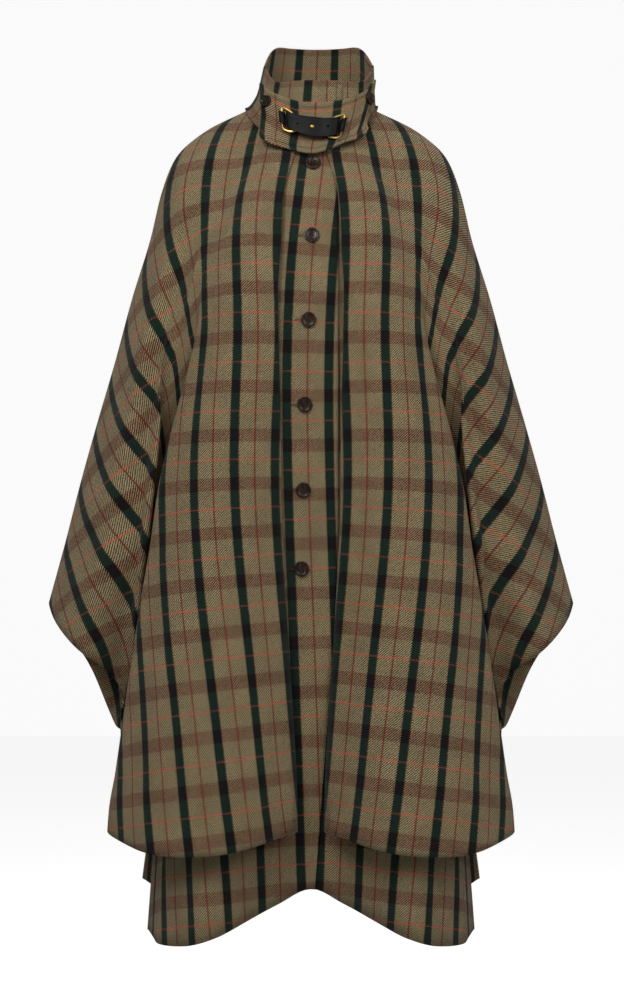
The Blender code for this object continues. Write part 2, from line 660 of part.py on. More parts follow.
def build_strap():
    """The strap is turned back round a ring at each end; its short ends lie under it."""
    inside, outside = WIRE + RING_PLAY, WIRE + RING_PLAY + LEATHER
    end = STRAP_HALF_LENGTH - outside
    spans = np.linspace(-end, end, 13)[1:-1]
    right = [along for along in spans if along > STRAP_TUCK]
    left = [-along for along in right[::-1]]
    outline = [(along, STRAP_LIFT - outside) for along in right] + turned_end(end, outside, 1)[::-1]
    outline += [(along, STRAP_LIFT + outside) for along in spans[::-1]]
    outline += turned_end(-end, outside, -1) + [(along, STRAP_LIFT - outside) for along in left]
    outline += [(along, STRAP_LIFT - inside) for along in left[::-1]] + turned_end(-end, inside, -1)[::-1]
    outline += [(along, STRAP_LIFT + inside) for along in spans]
    outline += turned_end(end, inside, 1) + [(along, STRAP_LIFT - inside) for along in right[::-1]]
    sections = [[on_band(along, up, out) for along, out in outline]
                for up in np.linspace(-STRAP_HALF_WIDTH, STRAP_HALF_WIDTH, 5)]
    face_outward(swept("strap", sections, "black leather"))


def build_ring(side, name):
    """A D-ring: a straight bar in its loop and a bow inside the strap's turned end."""
    path = [(RING_BAR - RING_DEPTH * math.cos(turn), RING_HALF_HEIGHT * math.sin(turn))
            for turn in np.linspace(-math.pi / 2, math.pi / 2, 13)]
    path += [(RING_BAR, RING_HALF_HEIGHT * share) for share in (0.6, 0.2, -0.2, -0.6)]
    path = np.array(path) * np.array([side, 1.0])
    ahead = unit(np.roll(path, -1, axis=0) - np.roll(path, 1, axis=0))
    sections = []
    for (along, up), (way_along, way_up) in zip(path, ahead):
        section = []
        for turn in np.linspace(0, math.tau, 8, endpoint=False):
            reach = WIRE * math.cos(turn)
            section.append(on_band(along + way_up * reach, up - way_along * reach,
                                   STRAP_LIFT + WIRE * math.sin(turn)))
        sections.append(section)
    face_outward(swept(name, sections, "brass", closed=True))


def build_ring_loop(side, name):
    """A short leather loop round the ring's bar, with its cut on the band's side."""
    turns = np.radians(np.linspace(-80, 260, 15))
    outline = []
    for radius, run in ((WIRE + RING_PLAY + LEATHER, turns), (WIRE + RING_PLAY, turns[::-1])):
        outline += [(side * RING_BAR + radius * math.cos(turn), STRAP_LIFT + radius * math.sin(turn))
                    for turn in run]
    sections = [[on_band(along, up, out) for along, out in outline]
                for up in np.linspace(-LOOP_HALF_WIDTH, LOOP_HALF_WIDTH, 3)]
    face_outward(swept(name, sections, "black leather"))


def build_stud():
    level = STRAP_LIFT + WIRE + RING_PLAY + LEATHER + SEAM
    profile = ((STUD_RADIUS, 0.0), (STUD_RADIUS, 0.6), (STUD_RADIUS * 0.72, 1.5),
               (STUD_RADIUS * 0.3, STUD_RISE))
    sections = [[on_band(reach * math.cos(turn), reach * math.sin(turn), level + rise)
                 for turn in np.linspace(0, math.tau, 14, endpoint=False)] for reach, rise in profile]
    face_outward(swept("strap_stud", sections, "brass"))


def build_neckwear():
    cloth_wall("stand_collar", collar_grid(), COLLAR_CLOTH, mitre=1.0)
    band = cloth_wall("throat_band", band_grid(), BAND_CLOTH, mitre=1.0)
    build_band_buttons(band)
    build_strap()
    for side, word in ((-1, "right"), (1, "left")):
        build_ring(side, "ring_" + word)
        build_ring_loop(side, "ring_loop_" + word)
    build_stud()


def main():
    for item in list(bpy.data.objects):
        bpy.data.objects.remove(item, do_unlink=True)
    build_cape()
    placket = build_coat()
    build_coat_buttons(placket)
    build_neckwear()


main()
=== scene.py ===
"""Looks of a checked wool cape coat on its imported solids, laid out as an add-on.

Lengths in the tables are millimetres. X is across, with the wearer's right at -X, Y runs from
front (-) to back (+) and Z is up from the wearer's shoulders, as in the solids.
"""
import math
from collections import namedtuple

import bmesh
import bpy
import numpy as np
from bpy.props import FloatProperty, FloatVectorProperty, PointerProperty
from mathutils import Matrix, Vector


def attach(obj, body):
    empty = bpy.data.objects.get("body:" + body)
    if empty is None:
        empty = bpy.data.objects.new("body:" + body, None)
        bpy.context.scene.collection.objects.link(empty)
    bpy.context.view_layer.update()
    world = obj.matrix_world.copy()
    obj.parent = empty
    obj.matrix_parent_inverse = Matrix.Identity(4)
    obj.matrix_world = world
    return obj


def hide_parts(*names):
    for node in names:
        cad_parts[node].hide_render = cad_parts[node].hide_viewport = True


bl_info = {
    "name": "Cape Coat",
    "version": (1, 0, 0),
    "blender": (4, 5, 0),
    "location": "3D View > Sidebar > Cape Coat",
    "description": "Dresses the solids of a checked wool cape coat",
    "category": "Object",
}

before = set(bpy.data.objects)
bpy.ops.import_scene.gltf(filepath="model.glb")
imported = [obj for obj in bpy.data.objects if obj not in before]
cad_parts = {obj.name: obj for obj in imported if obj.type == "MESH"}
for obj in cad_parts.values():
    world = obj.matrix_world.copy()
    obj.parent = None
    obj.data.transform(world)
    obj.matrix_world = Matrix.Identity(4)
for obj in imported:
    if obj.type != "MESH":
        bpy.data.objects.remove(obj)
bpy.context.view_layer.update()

MM = 0.001
CLOTH = 2.2
COLLAR_CLOTH = 3.0
BAND_CLOTH = 2.6
SEAM = 0.3

NECK_HALF_WIDTH = 84.0
NECK_HALF_DEPTH = 88.0
NECK_MID_Y = 4.0
NECK_SIDE_Z = 25.0
NECK_FRONT_DROP = 70.0
NECK_BACK_RISE = 3.0
NECK_CURVE = 1.5
# The way out from the cape at the neckline: its parts to the side and to the front, its rise in
# front and behind, and its rise at the side.
NECK_OUT = (0.4, 0.9)
NECK_OUT_RISE = (0.45, 0.33)
NECK_OUT_SIDE_RISE = 0.92
TIP_Y = 8.0

# One row for each ring of the cape below the neck: the front edge, the roll of the panel,
# the depth of the fold behind the roll, and the side line where the wing begins.
FrontRing = namedtuple(
    "FrontRing", "edge_x edge_y edge_z front_y roll_x roll_y roll_z fold side_x side_y side_z")
CAPE_FRONT = [FrontRing(*row) for row in (
    (35, -112, -98, -114, 112, -88, -112, 0, 126, -72, -95),
    (39, -134, -166, -139, 134, -110, -187, 0, 148, -92, -165),
    (43, -146, -232, -151, 143, -120, -252, 2, 162, -97, -232),
    (42, -150, -305, -157, 161, -116, -329, 18, 184, -90, -316),
    (40, -151, -376, -162, 182, -112, -411, 41, 203, -80, -402),
    (39, -150, -448, -167, 199, -111, -490, 56, 211, -80, -486),
    (38, -150, -520, -172, 210, -110, -566, 74, 219, -78, -566),
    (35, -150, -592, -178, 223, -110, -643, 84, 228, -64, -646),
    (31, -151, -664, -185, 235, -108, -718, 82, 241, -36, -728),
    (25, -152, -755, -194, 251, -105, -826, 74, 259, 4, -820),
    (21, -153, -820, -201, 258, -102, -871, 70, 258, 16, -870),
    (18, -154, -879, -207, 266, -100, -915, 60, 256, 32, -915),
    (17, -156, -963, -214, 271, -98, -985, 48, 253, 46, -985),
)]
BackRing = namedtuple("BackRing", "mid_y mid_z roll_x roll_y roll_z fold side_x side_y side_z")
CAPE_BACK = [BackRing(*row) for row in (
    (112, -38, 112, 92, -95, 0, 124, 76, -80),
    (134, -100, 134, 112, -170, 0, 148, 94, -150),
    (145, -165, 146, 120, -240, 2, 164, 97, -216),
    (150, -240, 162, 120, -315, 12, 186, 92, -302),
    (152, -315, 180, 119, -395, 26, 205, 86, -387),
    (154, -392, 194, 119, -470, 36, 213, 84, -467),
    (157, -470, 205, 120, -548, 46, 221, 82, -547),
    (161, -548, 216, 122, -625, 54, 231, 76, -632),
    (166, -626, 226, 124, -705, 52, 243, 50, -718),
    (173, -722, 236, 126, -790, 50, 259, 4, -820),
    (180, -795, 240, 128, -850, 50, 258, 16, -870),
    (186, -865, 244, 130, -905, 40, 256, 32, -915),
    (195, -985, 246, 134, -985, 26, 253, 46, -985),
)]
# One row for each ring down to the arm opening: the wing from its inner lip to the overarm seam.
WingRing = namedtuple("WingRing", "front_lip_x front_y back_lip_x back_y tip_x tip_z")
WINGS = [WingRing(*row) for row in (
    (130, -46, 128, 52, 144, -5),
    (154, -62, 154, 70, 184, -41),
    (170, -72, 171, 78, 203, -87),
    (192, -84, 193, 86, 219, -153),
    (210, -92, 212, 92, 244, -234),
    (219, -94, 221, 94, 266, -316),
    (227, -94, 230, 94, 290, -398),
    (236, -92, 241, 92, 313, -480),
    (252, -87, 256, 86, 334, -562),
    (268, -78, 274, 68, 357, -646),
)]
OPENING_RING = len(WINGS)
Wing = namedtuple("Wing", "lip_y lip_rise crown_x crown_rise turn_x turn_y turn_rise")
WING_FRONT = Wing(0.5, 0.25, 0.5, 0.55, 0.9, 0.55, 0.88)
WING_BACK = Wing(0.6, 0.1, 0.5, 0.5, 0.9, 0.55, 0.86)
PANEL_LOBES = (0.36, 0.72)
LOBE_BACK_SET = 0.24
FOLD_TUCK = 0.14
FOLD_SHARE = 0.45
FOLD_INSET = 4.0
FOLD_FULL = 15.0
FOLD_NEAR = 0.35
FOLD_FAR = 0.7
FOLD_FAR_RISE = 0.3
FRONT_HEM_Z = (-940, -962, -967, -944, -928, -922, -914)
BACK_HEM_Z = (-955, -955, -950, -936, -924, -919, -914)
FRONT_NECK_ANGLES = (14, 25, 36, 46, 52, 57, 62, 66, 74, 82, 90)
BACK_NECK_ANGLES = (180, 168, 154, 140, 131, 124, 118, 113, 105, 97, 90)
PANEL_STEPS = (8, 8, 12, 12, 5, 8)
WING_STEPS = (8, 8, 8, 8)
ROWS_TO_OPENING = 70
ROWS_TO_HEM = 20
HEM_SAMPLES = 40
OPENING_GAP = 2.2 * CLOTH

# One row for each ring of the coat: centre, chest lobe and outer border, which runs down the
# shoulder seam, the armhole and the side seam and ends along the side vent.
CoatRing = namedtuple("CoatRing", "mid_y mid_z lobe_x lobe_y lobe_z side_x side_y side_z")
COAT_FRONT = [CoatRing(*row) for row in (
    (-102, -88, 76, -74, -74, 128, 8, -10),
    (-122, -150, 92, -92, -142, 160, 8, -48),
    (-136, -215, 102, -108, -206, 142, -50, -140),
    (-142, -285, 108, -120, -275, 134, -56, -205),
    (-144, -350, 110, -125, -345, 148, 4, -290),
    (-144, -420, 113, -129, -420, 155, 4, -400),
    (-144, -520, 118, -135, -520, 165, 4, -520),
    (-143, -610, 122, -141, -620, 175, 4, -620),
    (-141, -720, 128, -149, -740, 188, 4, -740),
    (-137, -830, 132, -160, -860, 202, -10, -860),
    (-130, -940, 136, -173, -985, 213, -32, -985),
    (-122, -1060, 140, -186, -1115, 222, -52, -1115),
)]
COAT_BACK = [CoatRing(*row) for row in (
    (100, -38, 76, 76, -68, 128, 8, -10),
    (119, -98, 92, 92, -138, 160, 8, -48),
    (130, -165, 102, 108, -192, 144, 56, -134),
    (135, -245, 108, 117, -262, 136, 62, -200),
    (137, -320, 110, 119, -336, 148, 4, -290),
    (138, -405, 113, 121, -415, 155, 4, -400),
    (140, -510, 118, 124, -516, 165, 4, -520),
    (142, -610, 122, 126, -620, 175, 4, -620),
    (145, -730, 128, 129, -740, 188, 4, -740),
    (148, -855, 134, 132, -860, 205, 10, -860),
    (151, -975, 142, 135, -985, 226, 28, -985),
    (153, -1085, 150, 138, -1100, 241, 44, -1100),
)]
COAT_FRONT_HEM_Z = (-1019, -1019, -1040, -1080, -1091, -1083)
COAT_BACK_HEM_Z = (-1050, -1050, -1052, -1050, -1026)
COAT_FRONT_STEPS = (6, 6, 12, 12, 12)
COAT_BACK_STEPS = (8, 10, 12, 12)
COAT_ROWS = 72
COAT_HEM_SAMPLES = 80
COAT_HEM_FROM_RING = 4
COAT_NECK_ANGLES = (0, 28, 48, 70, 90)
COAT_SEAT = 0.8
COAT_FLANK = np.array([0.66, 0.36, 0.34])
PLACKET_X = 46.0
PLACKET_BULGE = 0.6
PLACKET_UNDER_LAP = CLOTH + 1.2
UNDER_LAP_ENDS = (48.0, 80.0)
LAP_X = (36.0, 36.0, 5.0)
LAP_Z = (0.0, -610.0, -1020.0)
UNDER_LAP_SHORT = 6.0

# The collar rises from a flange on the cape to its rim.
COLLAR_FLANGE = 5.0
COLLAR_FLANGE_LIFT = 0.3
COLLAR_RIM_X = 9.0
COLLAR_RIM_HALF_WIDTH = 73.0
COLLAR_RIM_HALF_DEPTH = 70.0
COLLAR_RIM_Y = 2.0
COLLAR_RIM_Z = (54.0, 84.0, 117.0)
COLLAR_RIM_LEVEL = 0.74
COLLAR_WAIST = (0.26, 0.5)
COLLAR_HEIGHTS = (0.0, 0.16, 0.4, 1.0)
COLLAR_SEAT = 0.45
COLLAR_FOOT = 0.12
COLLAR_FOOT_FROM = (0.35, 0.75)
COLLAR_TURN = (20.0, 402.0)
COLLAR_LAP = COLLAR_CLOTH + 1.2
COLLAR_LAP_FADE = (70.0, 135.0)
COLLAR_COLUMNS = 144
COLLAR_ROWS = 30

BAND_TURN_LOW = 46.0
BAND_TURN_HIGH = 72.0
BAND_MIDDLE = 3.0
BAND_STAND_OFF = 0.8
BAND_LAP_SHARE = 1.12
BAND_OVER_LAP = (4.0, 17.0)
BAND_END_FLARE = (8.0, 2.5)
BAND_FLARE_FROM = 0.4
BAND_CORNER_RUN = 17.0
BAND_COLUMNS = 72
BAND_ROWS = 24
BandEdge = namedtuple("BandEdge", "share low high")
BAND_EDGES = [BandEdge(*row) for row in (
    (0.0, 0.02, 0.77),
    (0.3, 0.04, 0.77),
    (0.5, 0.04, 0.79),
    (0.75, 0.0, 0.84),
    (0.95, 0.0, 0.88),
    (1.0, 0.05, 0.84),
)]
STRAP_SHARE = -0.09
STRAP_HEIGHT = 0.47
STRAP_TILT = -0.1
SMALL_STEP = 0.02
LEATHER = 2.0
WIRE = 1.5
RING_PLAY = 0.5
STRAP_LIFT = WIRE + RING_PLAY + LEATHER + 0.6

BUTTON_RADIUS = 10.0
BUTTON_THICK = 3.6
BUTTON_RIM = 0.8
BAND_BUTTON_RADIUS = 8.0


def blend(start, end, share):
    return start + (np.asarray(end, float) - start) * share


def ease(low, high, value):
    share = np.clip((np.asarray(value, float) - low) / (high - low), 0.0, 1.0)
    return share * share * (3.0 - 2.0 * share)


def unit(vectors):
    return vectors / np.linalg.norm(vectors, axis=-1, keepdims=True)


def side_and_front(turn):
    """How far a turn in degrees from the front goes to the side and to the front, out of 1."""
    return math.sin(math.radians(turn)), math.cos(math.radians(turn))


def hermite(share, start, start_slope, end, end_slope, span=1.0):
    square, cube = share ** 2, share ** 3
    return ((2 * cube - 3 * square + 1) * start + (cube - 2 * square + share) * span * start_slope
            + (3 * square - 2 * cube) * end + (cube - square) * span * end_slope)


def along_rings(rings, at):
    """Positions on a smooth run through the rings, with no overshoot; at counts in rings."""
    rings = np.asarray(rings, float)
    rises = np.diff(rings, axis=0)
    slopes = np.vstack([rises[:1], np.zeros_like(rises[1:]), rises[-1:]])
    joint = rises[:-1] * rises[1:]
    total = np.where(joint > 0, rises[:-1] + rises[1:], 1.0)
    slopes[1:-1] = np.where(joint > 0, 2 * joint / total, 0.0)
    first = np.clip(np.floor(at).astype(int), 0, len(rings) - 2)
    share = np.asarray(at, float) - first
    share = share.reshape(share.shape + (1,) * (rings.ndim - 1))
    return hermite(share, rings[first], slopes[first], rings[first + 1], slopes[first + 1])


def through(points, steps, before, after):
    """A smooth curve through points, with steps spans between each two of them."""
    run = np.vstack([before, points, after])
    spans = np.sqrt(np.maximum(np.linalg.norm(np.diff(run, axis=0), axis=1), 0.01))[:, None]
    chords = np.diff(run, axis=0) / spans
    slopes = (chords[:-1] * spans[1:] + chords[1:] * spans[:-1]) / (spans[:-1] + spans[1:])
    curve = []
    for index, count in enumerate(steps):
        share = (np.arange(count) / count)[:, None]
        curve.append(hermite(share, points[index], slopes[index], points[index + 1], slopes[index + 1],
                             spans[index + 1]))
    return np.vstack(curve + [points[-1:]])


def neck_way_out(turn):
    """The way out from the cape at the neckline, at a turn in degrees from the front."""
    side, front = side_and_front(turn)
    rise = NECK_OUT_RISE[0] if front > 0 else NECK_OUT_RISE[1]
    return unit(np.array([NECK_OUT[0] * side, -NECK_OUT[1] * front,
                          rise + (NECK_OUT_SIDE_RISE - rise) * side * side]))


def neck_point(turn, moved=0.0, down=0.0):
    """A point of the neckline at a turn in degrees from the front, moved off or down the cape."""
    side, front = side_and_front(turn)
    lift = -NECK_FRONT_DROP if front > 0 else NECK_BACK_RISE
    point = np.array([NECK_HALF_WIDTH * side, NECK_MID_Y - NECK_HALF_DEPTH * front,
                      NECK_SIDE_Z + lift * abs(front) ** NECK_CURVE])
    out = neck_way_out(turn)
    across = np.array([front, side * NECK_HALF_DEPTH / NECK_HALF_WIDTH, 0.0])
    fall = unit(np.cross(out, unit(across - out * across.dot(out))))
    fall = fall if fall[2] < 0 else -fall
    return point + out * moved + fall * down


def wing_points(side, lip_x, crown_y, tip_x, tip_z, shape):
    tip = np.array([tip_x, TIP_Y, tip_z])
    lip = np.array([lip_x, blend(side[1], crown_y, shape.lip_y), blend(side[2], tip_z, shape.lip_rise)])
    crown = np.array([blend(side[0], tip_x, shape.crown_x), crown_y,
                      blend(side[2], tip_z, shape.crown_rise)])
    turn = np.array([blend(side[0], tip_x, shape.turn_x), blend(crown_y, TIP_Y, shape.turn_y),
                     blend(side[2], tip_z, shape.turn_rise)])
    return [lip, crown, turn, tip]


def panel_points(start, front_y, roll, fold, side):
    """Panel from its middle edge over two lobes and the roll, into the fold and out to the side."""
    depths = (front_y, blend(front_y, roll[1], LOBE_BACK_SET))
    lobes = [np.array([blend(start[0], roll[0], share), depth, blend(start[2], roll[2], share)])
             for share, depth in zip(PANEL_LOBES, depths)]
    inward = 1.0 if roll[1] < 0 else -1.0
    near = np.array([min(roll[0], side[0]) - FOLD_TUCK * fold - FOLD_INSET, roll[1] + inward * fold,
                     blend(roll[2], side[2], FOLD_NEAR)])
    far = near + np.array([FOLD_SHARE * (side[0] - near[0]), 0.0, FOLD_FAR_RISE * (side[2] - roll[2])])
    made = min(1.0, fold / FOLD_FULL)
    near = blend(blend(roll, side, FOLD_NEAR), near, made)
    far = blend(blend(roll, side, FOLD_FAR), far, made)
    return [start] + lobes + [roll, near, far, side]


def cape_rings(back):
    """Control points of the half rings, from the neckline to below the hem."""
    angles = BACK_NECK_ANGLES if back else FRONT_NECK_ANGLES
    rings = [[neck_point(angle) for angle in angles]]
    for index, row in enumerate(CAPE_BACK if back else CAPE_FRONT):
        if back:
            start, front_y = np.array([0.0, row.mid_y, row.mid_z]), row.mid_y - 1.0
        else:
            start, front_y = np.array([row.edge_x, row.edge_y, row.edge_z]), row.front_y
        roll = np.array([row.roll_x, row.roll_y, row.roll_z])
        side = np.array([row.side_x, row.side_y, row.side_z])
        points = panel_points(start, front_y, roll, row.fold, side)
        if index < OPENING_RING:
            wing = WINGS[index]
            lip_x, crown_y = (wing.back_lip_x, wing.back_y) if back else (wing.front_lip_x, wing.front_y)
            points += wing_points(side, lip_x, crown_y, wing.tip_x, wing.tip_z,
                                  WING_BACK if back else WING_FRONT)
        rings.append(points)
    rings[0][-1][1] = TIP_Y
    return rings


def mirrored_over(point, axis, middle):
    other = point.copy()
    other[axis] = 2 * middle - other[axis]
    return other


def hem_places(rings, hem, fine):
    """Where each column of the rings comes down to its hem, counted in rings."""
    return [np.interp(-hem_z, -along_rings(rings[:, column], fine)[:, 2], fine)
            for column, hem_z in enumerate(hem)]


def cape_half(back):
    """Rows of half-ring points; rows below the arm opening stop at the side line."""
    rings = cape_rings(back)
    upper = np.array(rings[:OPENING_RING + 1])
    panel_count = len(PANEL_STEPS) + 1
    lower = np.array([ring[:panel_count] for ring in rings[OPENING_RING:]])
    hem = BACK_HEM_Z if back else FRONT_HEM_Z
    rows = []
    for at in np.linspace(0, OPENING_RING, ROWS_TO_OPENING + 1):
        points = along_rings(upper, at)
        before = mirrored_over(points[1], 0, 0.0) if back else 2 * points[0] - points[1]
        after = mirrored_over(points[-2], 1, TIP_Y)
        rows.append(through(points, PANEL_STEPS + WING_STEPS, before, after))
    ends = hem_places(lower, hem, np.linspace(0, len(lower) - 1, HEM_SAMPLES))
    for share in np.linspace(0, 1, ROWS_TO_HEM + 1)[1:]:
        points = np.array([along_rings(lower[:, column], end * share) for column, end in enumerate(ends)])
        before = mirrored_over(points[1], 0, 0.0) if back else 2 * points[0] - points[1]
        after = mirrored_over(points[-2], 1, points[-1][1])
        short = through(points, PANEL_STEPS, before, after)
        rows.append(np.vstack([short, np.full((sum(WING_STEPS), 3), np.nan)]))
    return np.array(rows)


def coat_half(back):
    """Rows of the coat's half rings from the neckline to the hem."""
    table = COAT_BACK if back else COAT_FRONT
    turns = [180 - turn for turn in COAT_NECK_ANGLES] if back else COAT_NECK_ANGLES
    sunk = -(CLOTH + COAT_SEAT)
    rings = [[neck_point(turn, sunk) for turn in turns]]
    rings[0][-1][1] = TIP_Y
    for row in table:
        middle = np.array([0.0, row.mid_y, row.mid_z])
        lobe = np.array([row.lobe_x, row.lobe_y, row.lobe_z])
        side = np.array([row.side_x, row.side_y, row.side_z])
        share = PLACKET_X / row.lobe_x
        placket = np.array([PLACKET_X, blend(row.mid_y, row.lobe_y, PLACKET_BULGE * share * share),
                            blend(row.mid_z, row.lobe_z, share)])
        flank = blend(lobe, side, COAT_FLANK)
        rings.append([middle, placket, lobe, flank, side])
    rings = np.array(rings)
    hem = COAT_BACK_HEM_Z if back else COAT_FRONT_HEM_Z[1:]
    steps = COAT_BACK_STEPS if back else COAT_FRONT_STEPS[1:]
    ends = hem_places(rings, hem, np.linspace(COAT_HEM_FROM_RING, len(rings) - 1, COAT_HEM_SAMPLES))
    rows = []
    for share in np.linspace(0, 1, COAT_ROWS + 1):
        points = np.array([along_rings(rings[:, column], end * share) for column, end in enumerate(ends)])
        before = mirrored_over(points[1], 0, 0.0)
        after = 2 * points[-1] - points[-2]
        rows.append(through(points, steps, before, after))
    return np.array(rows)


def coat_front(over):
    """A coat front with the lap across the middle; the under one lies behind the other."""
    half = coat_half(False)
    lap_spans = COAT_FRONT_STEPS[0]
    rows = []
    for row in half:
        lap = np.interp(-row[0, 2], [-z for z in LAP_Z], LAP_X)
        lap = lap if over else lap - UNDER_LAP_SHORT * min(1.0, lap / LAP_X[0])
        reach = -lap * (1 - np.arange(lap_spans) / lap_spans)
        crossed = [np.array([x, np.interp(-x, row[:, 0], row[:, 1]), np.interp(-x, row[:, 0], row[:, 2])])
                   for x in reach]
        rows.append(np.vstack([crossed, row]))
    rows = np.array(rows)
    if not over:
        back_set = PLACKET_UNDER_LAP * (1 - ease(*UNDER_LAP_ENDS, rows[:, :, 0]))
        rows[:, :, 1] += back_set
    return rows


def collar_lap(turn):
    return COLLAR_LAP * (1 - ease(*COLLAR_LAP_FADE, turn))


def collar_point(turn, height, moved=0.0, flange_run=COLLAR_FLANGE):
    """A point of the collar's outer face; height runs from the flange's edge, 0, to the rim, 1."""
    around = turn % 360
    side, front = side_and_front(around)
    level = np.array([side, -front, 0.0])
    seat = COLLAR_CLOTH + COLLAR_SEAT
    flange = neck_point(around, seat + COLLAR_FLANGE_LIFT + moved, flange_run)
    base = neck_point(around, seat) + moved * unit(neck_way_out(around) + level)
    low, mid, high = COLLAR_RIM_Z
    rim_z = blend(mid, low if front > 0 else high, ease(0.0, COLLAR_RIM_LEVEL, abs(front)))
    rim = np.array([COLLAR_RIM_X + COLLAR_RIM_HALF_WIDTH * side,
                    COLLAR_RIM_Y - COLLAR_RIM_HALF_DEPTH * front, rim_z]) + moved * level
    waist_at, waist_in = COLLAR_WAIST
    waist = blend(base, rim, waist_at)
    waist[:2] = blend(base[:2], rim[:2], waist_in)
    points = np.array([flange, base, waist, rim])
    return along_rings(points, np.interp(height, COLLAR_HEIGHTS, range(4)))


def collar_grid():
    turns = np.linspace(*COLLAR_TURN, COLLAR_COLUMNS + 1)
    feet = COLLAR_FOOT * ease(*COLLAR_FOOT_FROM, np.cos(np.radians(turns)))
    return np.array([[collar_point(turn, blend(foot, 1.0, rise), collar_lap(turn))
                      for turn, foot in zip(turns, feet)] for rise in np.linspace(0, 1, COLLAR_ROWS + 1)])


def band_point(share, height, moved=0.0):
    """A point of the throat band's outer face; share runs from -1 at one end to 1 at the other."""
    turn = share * blend(BAND_TURN_LOW, BAND_TURN_HIGH, height) + BAND_MIDDLE
    flare = BAND_END_FLARE[int(share > 0)] * ease(BAND_FLARE_FROM, 1.0, abs(share))
    over = BAND_LAP_SHARE * collar_lap(turn) * ease(*BAND_OVER_LAP, turn)
    run = blend(COLLAR_FLANGE, BAND_CORNER_RUN, ease(BAND_FLARE_FROM, 1.0, abs(share)))
    return collar_point(turn, height, BAND_CLOTH + BAND_STAND_OFF + flare + over + moved, run)


def band_grid():
    shares = [row.share for row in BAND_EDGES]
    rows = []
    for rise in np.linspace(0, 1, BAND_ROWS + 1):
        row = []
        for share in np.linspace(-1, 1, BAND_COLUMNS + 1):
            low = np.interp(abs(share), shares, [edge.low for edge in BAND_EDGES])
            high = np.interp(abs(share), shares, [edge.high for edge in BAND_EDGES])
            row.append(band_point(share, blend(low, high, rise)))
        rows.append(row)
    return np.array(rows)


def on_band(along, up, out):
    """A place on the band by millimetres along it, up it and out from it, from the strap's middle."""
    middle = band_point(STRAP_SHARE, STRAP_HEIGHT)
    per_share = np.linalg.norm(band_point(STRAP_SHARE + SMALL_STEP, STRAP_HEIGHT) - middle) / SMALL_STEP
    per_rise = np.linalg.norm(band_point(STRAP_SHARE, STRAP_HEIGHT + SMALL_STEP) - middle) / SMALL_STEP
    share = STRAP_SHARE + along / per_share
    height = STRAP_HEIGHT + (up + STRAP_TILT * along) / per_rise
    return band_point(share, height, out)


def mirror(grid):
    return grid * np.array([-1.0, 1.0, 1.0])


def both_halves(half):
    return np.concatenate([mirror(half)[:, :0:-1], half], axis=1)


def seam_gap(grid, columns, step):
    moved = grid.copy()
    moved[:, columns, 1] += step
    return moved


def linear(hex_colour):
    """An sRGB hex colour as linear red, green, blue and alpha."""
    parts = [int(hex_colour[k:k + 2], 16) / 255 for k in (1, 3, 5)]
    return [c / 12.92 if c <= 0.04045 else ((c + 0.055) / 1.055) ** 2.4 for c in parts] + [1.0]


def length(name, description, default):
    return FloatProperty(name=name, description=description, default=default, unit="LENGTH")


def colour(name, description, hex_colour):
    return FloatVectorProperty(name=name, description=description, size=4, subtype="COLOR",
                               default=linear(hex_colour))


class CheckSettings(bpy.types.PropertyGroup):
    across: length("Repeat across", "Distance between green stripes", 0.0549)
    down: length("Repeat down", "Distance between coral lines", 0.0657)
    green_width: length("Green stripe", "Width of the bottle green stripe", 0.0122)
    red_width: length("Red line", "Width of the dark red warp line", 0.0022)
    coral_width: length("Coral line", "Width of the coral weft line", 0.0024)
    brown_width: length("Brown band", "Width of the brown weft band", 0.0175)
    twill: length("Twill pitch", "Distance between twill ridges", 0.0024)
    light: colour("Light strand", "Light strand of the ground", "#cab68b")
    dark: colour("Dark strand", "Dark strand of the ground", "#3b2b1d")
    green: colour("Green", "Bottle green stripe", "#0e2923")
    crossing: colour("Crossing", "Where green and brown cross", "#0c0e13")
    red: colour("Red", "Dark red warp line", "#8a322d")
    coral: colour("Coral", "Coral weft line", "#d0614a")
    brown: colour("Brown", "Brown weft band", "#591815")


class TrimSettings(bpy.types.PropertyGroup):
    leather: colour("Leather", "Colour of the strap", "#0b090a")
    brass: colour("Brass", "Colour of rings and stud", "#f0c873")
    horn: colour("Horn", "Main colour of the buttons", "#150e0c")
    horn_streak: colour("Horn streak", "Streaks in the horn", "#5a3a20")


def node(tree, kind, links=(), **settings):
    """Adds a node, with its settings and what each listed input is linked or set to."""
    made = tree.nodes.new(kind)
    for name, value in settings.items():
        setattr(made, name, value)
    for place, value in dict(links).items():
        if isinstance(value, bpy.types.NodeSocket):
            tree.links.new(value, made.inputs[place])
        else:
            made.inputs[place].default_value = value
    return made.outputs


def new_material(name):
    material = bpy.data.materials.new(name)
    material.use_nodes = True
    return material, material.node_tree, material.node_tree.nodes["Principled BSDF"]


# In metres: how far a twill ridge shifts a stripe, half the blur of a stripe's edge, and how far in
# from a piece's edge the sewing runs and half its width.
TWILL_TOOTH = 0.0011
STRIPE_BLUR = 0.0004
SEWN_IN = 0.0075
SEWN_HALF_WIDTH = 0.0016


